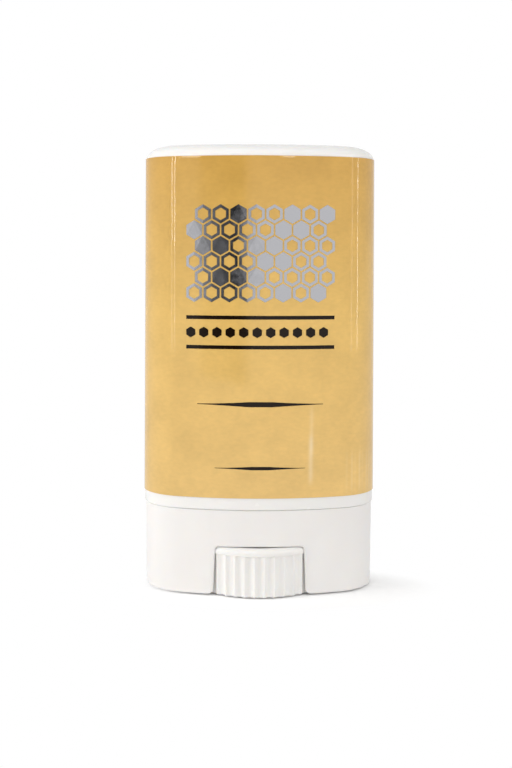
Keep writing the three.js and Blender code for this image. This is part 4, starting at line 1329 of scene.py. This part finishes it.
# In mirrors the white is a little less, so that white edges show against white.
beyond = add(tree, "ShaderNodeEmission", {"Strength": for_the_eye(tree, MIRRORED_WHITE, 1.0)})
mixed = add(tree, "ShaderNodeMixShader", {"Fac": fade_out, 1: near, 2: beyond})
add(tree, "ShaderNodeOutputMaterial", {"Surface": mixed})
floor = sheet_object("floor", [
    (-FLOOR_HALF, -FLOOR_HALF, 0), (FLOOR_HALF, -FLOOR_HALF, 0),
    (FLOOR_HALF, FLOOR_HALF, 0), (-FLOOR_HALF, FLOOR_HALF, 0),
], floor_white)
floor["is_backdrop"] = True
print(f"floor: {2 * FLOOR_HALF:.0f} m square")

# %% [markdown]
# ## Light
# A product table is lit from all round, so the world gives much of the light, grey for the shading
# and white where it is seen or mirrored. A large soft lamp on the left, a weaker one on the right and
# one behind model the oval, and one from above lights the table. A long thin lamp over the front puts
# glints on the folds of the film, and upright strips draw the thin highlights on the bends of the
# laminate. A black card stands in front on the left, hidden from the camera and from the shading:
# mirrors see it, and it gives the foil its dark side.

# %% World
ROOM_LIGHT = 0.38
world = bpy.data.worlds.new("white_room")
world.use_nodes = True
tree = world.node_tree
tree.nodes.clear()
strength = add(tree, "ShaderNodeMix", {
    "Factor": seen_by_eye(tree), "A": ROOM_LIGHT, "B": for_the_eye(tree, MIRRORED_WHITE, 1.0),
})
sky = add(tree, "ShaderNodeBackground", {"Color": (1.0, 1.0, 1.0, 1.0), "Strength": strength})
add(tree, "ShaderNodeOutputWorld", {"Surface": sky})
scene.world = world
print("world: white to the eye, grey to the shading")

# %% Lamps
LAMP_AIM = Vector((0, 0, 34 * MM))
STRIP_AWAY, STRIP_WIDE = 0.6, 0.009


def lamp(name, azimuth, elevation, away, wide, high, watts):
    """A soft rectangular lamp aimed at the middle of the stick; azimuth 0 is in front, 90 right."""
    turn, rise = math.radians(azimuth), math.radians(elevation)
    ray = Vector((
        math.sin(turn) * math.cos(rise), -math.cos(turn) * math.cos(rise), math.sin(rise),
    ))
    light = bpy.data.lights.new(name, "AREA")
    light.shape = "RECTANGLE"
    light.size, light.size_y, light.energy = wide, high, watts
    made = placed(name, light)
    facing = ray.to_track_quat("Z", "Y").to_matrix().to_4x4()
    made.matrix_world = Matrix.Translation(LAMP_AIM + ray * away) @ facing
    return made


# The key and the back fill shape the form only. Mirrored in the laminate, the key would bleach one
# end of the film, and the back fill would eat the cap's outline.
lamp("key_left", -75, 20, 0.7, 0.35, 0.4, 2.15).visible_glossy = False
lamp("back_fill", 180, 12, 0.9, 0.8, 0.5, 1.8).visible_glossy = False
lamp("fill_right", 60, 28, 0.8, 0.4, 0.45, 1.45)
lamp("overhead", 0, 80, 0.8, 0.6, 0.6, 0.75)
lamp("front_top", -10, 27, 0.7, 0.9, 0.07, 0.88)
for name, azimuth, elevation, high, watts in (
    ("left_bend_upper", -44, 13, 0.2, 0.1), ("left_bend_lower", -44, -2, 0.12, 0.02),
    ("left_end_upper", -51, 13, 0.2, 0.1), ("left_end_lower", -51, -2, 0.12, 0.02),
    ("right_bend", 61, 6, 0.3, 0.04), ("right_end", 77, 6, 0.3, 0.12),
):
    lamp(name, azimuth, elevation, STRIP_AWAY, STRIP_WIDE, high, watts)

# %% Card
CARD_LEFT, CARD_RIGHT, CARD_Y, CARD_TOP = -0.24, -0.01, -0.38, 0.25
black_card, tree, place = new_finish("black_card")
across = add(tree, "ShaderNodeSeparateXYZ", {"Vector": place}).outputs["X"]
card_share = add(tree, "ShaderNodeMapRange", {
    "Value": across, "From Min": CARD_LEFT, "From Max": CARD_RIGHT,
})
felt_share = stops(
    add(tree, "ShaderNodeValToRGB", {"Fac": card_share}),
    *[(at, (felt, felt, felt, 1.0)) for at, felt in ((0.0, 0.0), (0.35, 0.8), (0.75, 1.0), (1.0, 0.0))],
)
felt_share.color_ramp.interpolation = "EASE"
clear = add(tree, "ShaderNodeBsdfTransparent")
felt = add(tree, "ShaderNodeBsdfDiffuse", {"Color": linear("#101010")})
veil = add(tree, "ShaderNodeMixShader", {"Fac": felt_share, 1: clear, 2: felt})
add(tree, "ShaderNodeOutputMaterial", {"Surface": veil})
card = sheet_object("card", [
    (CARD_LEFT, CARD_Y, 0.0), (CARD_RIGHT, CARD_Y, 0.0),
    (CARD_RIGHT, CARD_Y, CARD_TOP), (CARD_LEFT, CARD_Y, CARD_TOP),
], black_card)
card.visible_camera = False
card.visible_diffuse = False
card.visible_shadow = False
card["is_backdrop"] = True
print("card:", round((CARD_RIGHT - CARD_LEFT) / MM), "mm wide, hidden from the camera and the shading")

# %% [markdown]
# ## Sizes
# The boxes of the imported model and of the visual one are printed side by side.

# %% Finish
boxes = {"cad": cad_box, "visual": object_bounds()}
for name, box in boxes.items():
    print(name, "box in mm:", [[round(v / MM, 2) for v in corner] for corner in box])
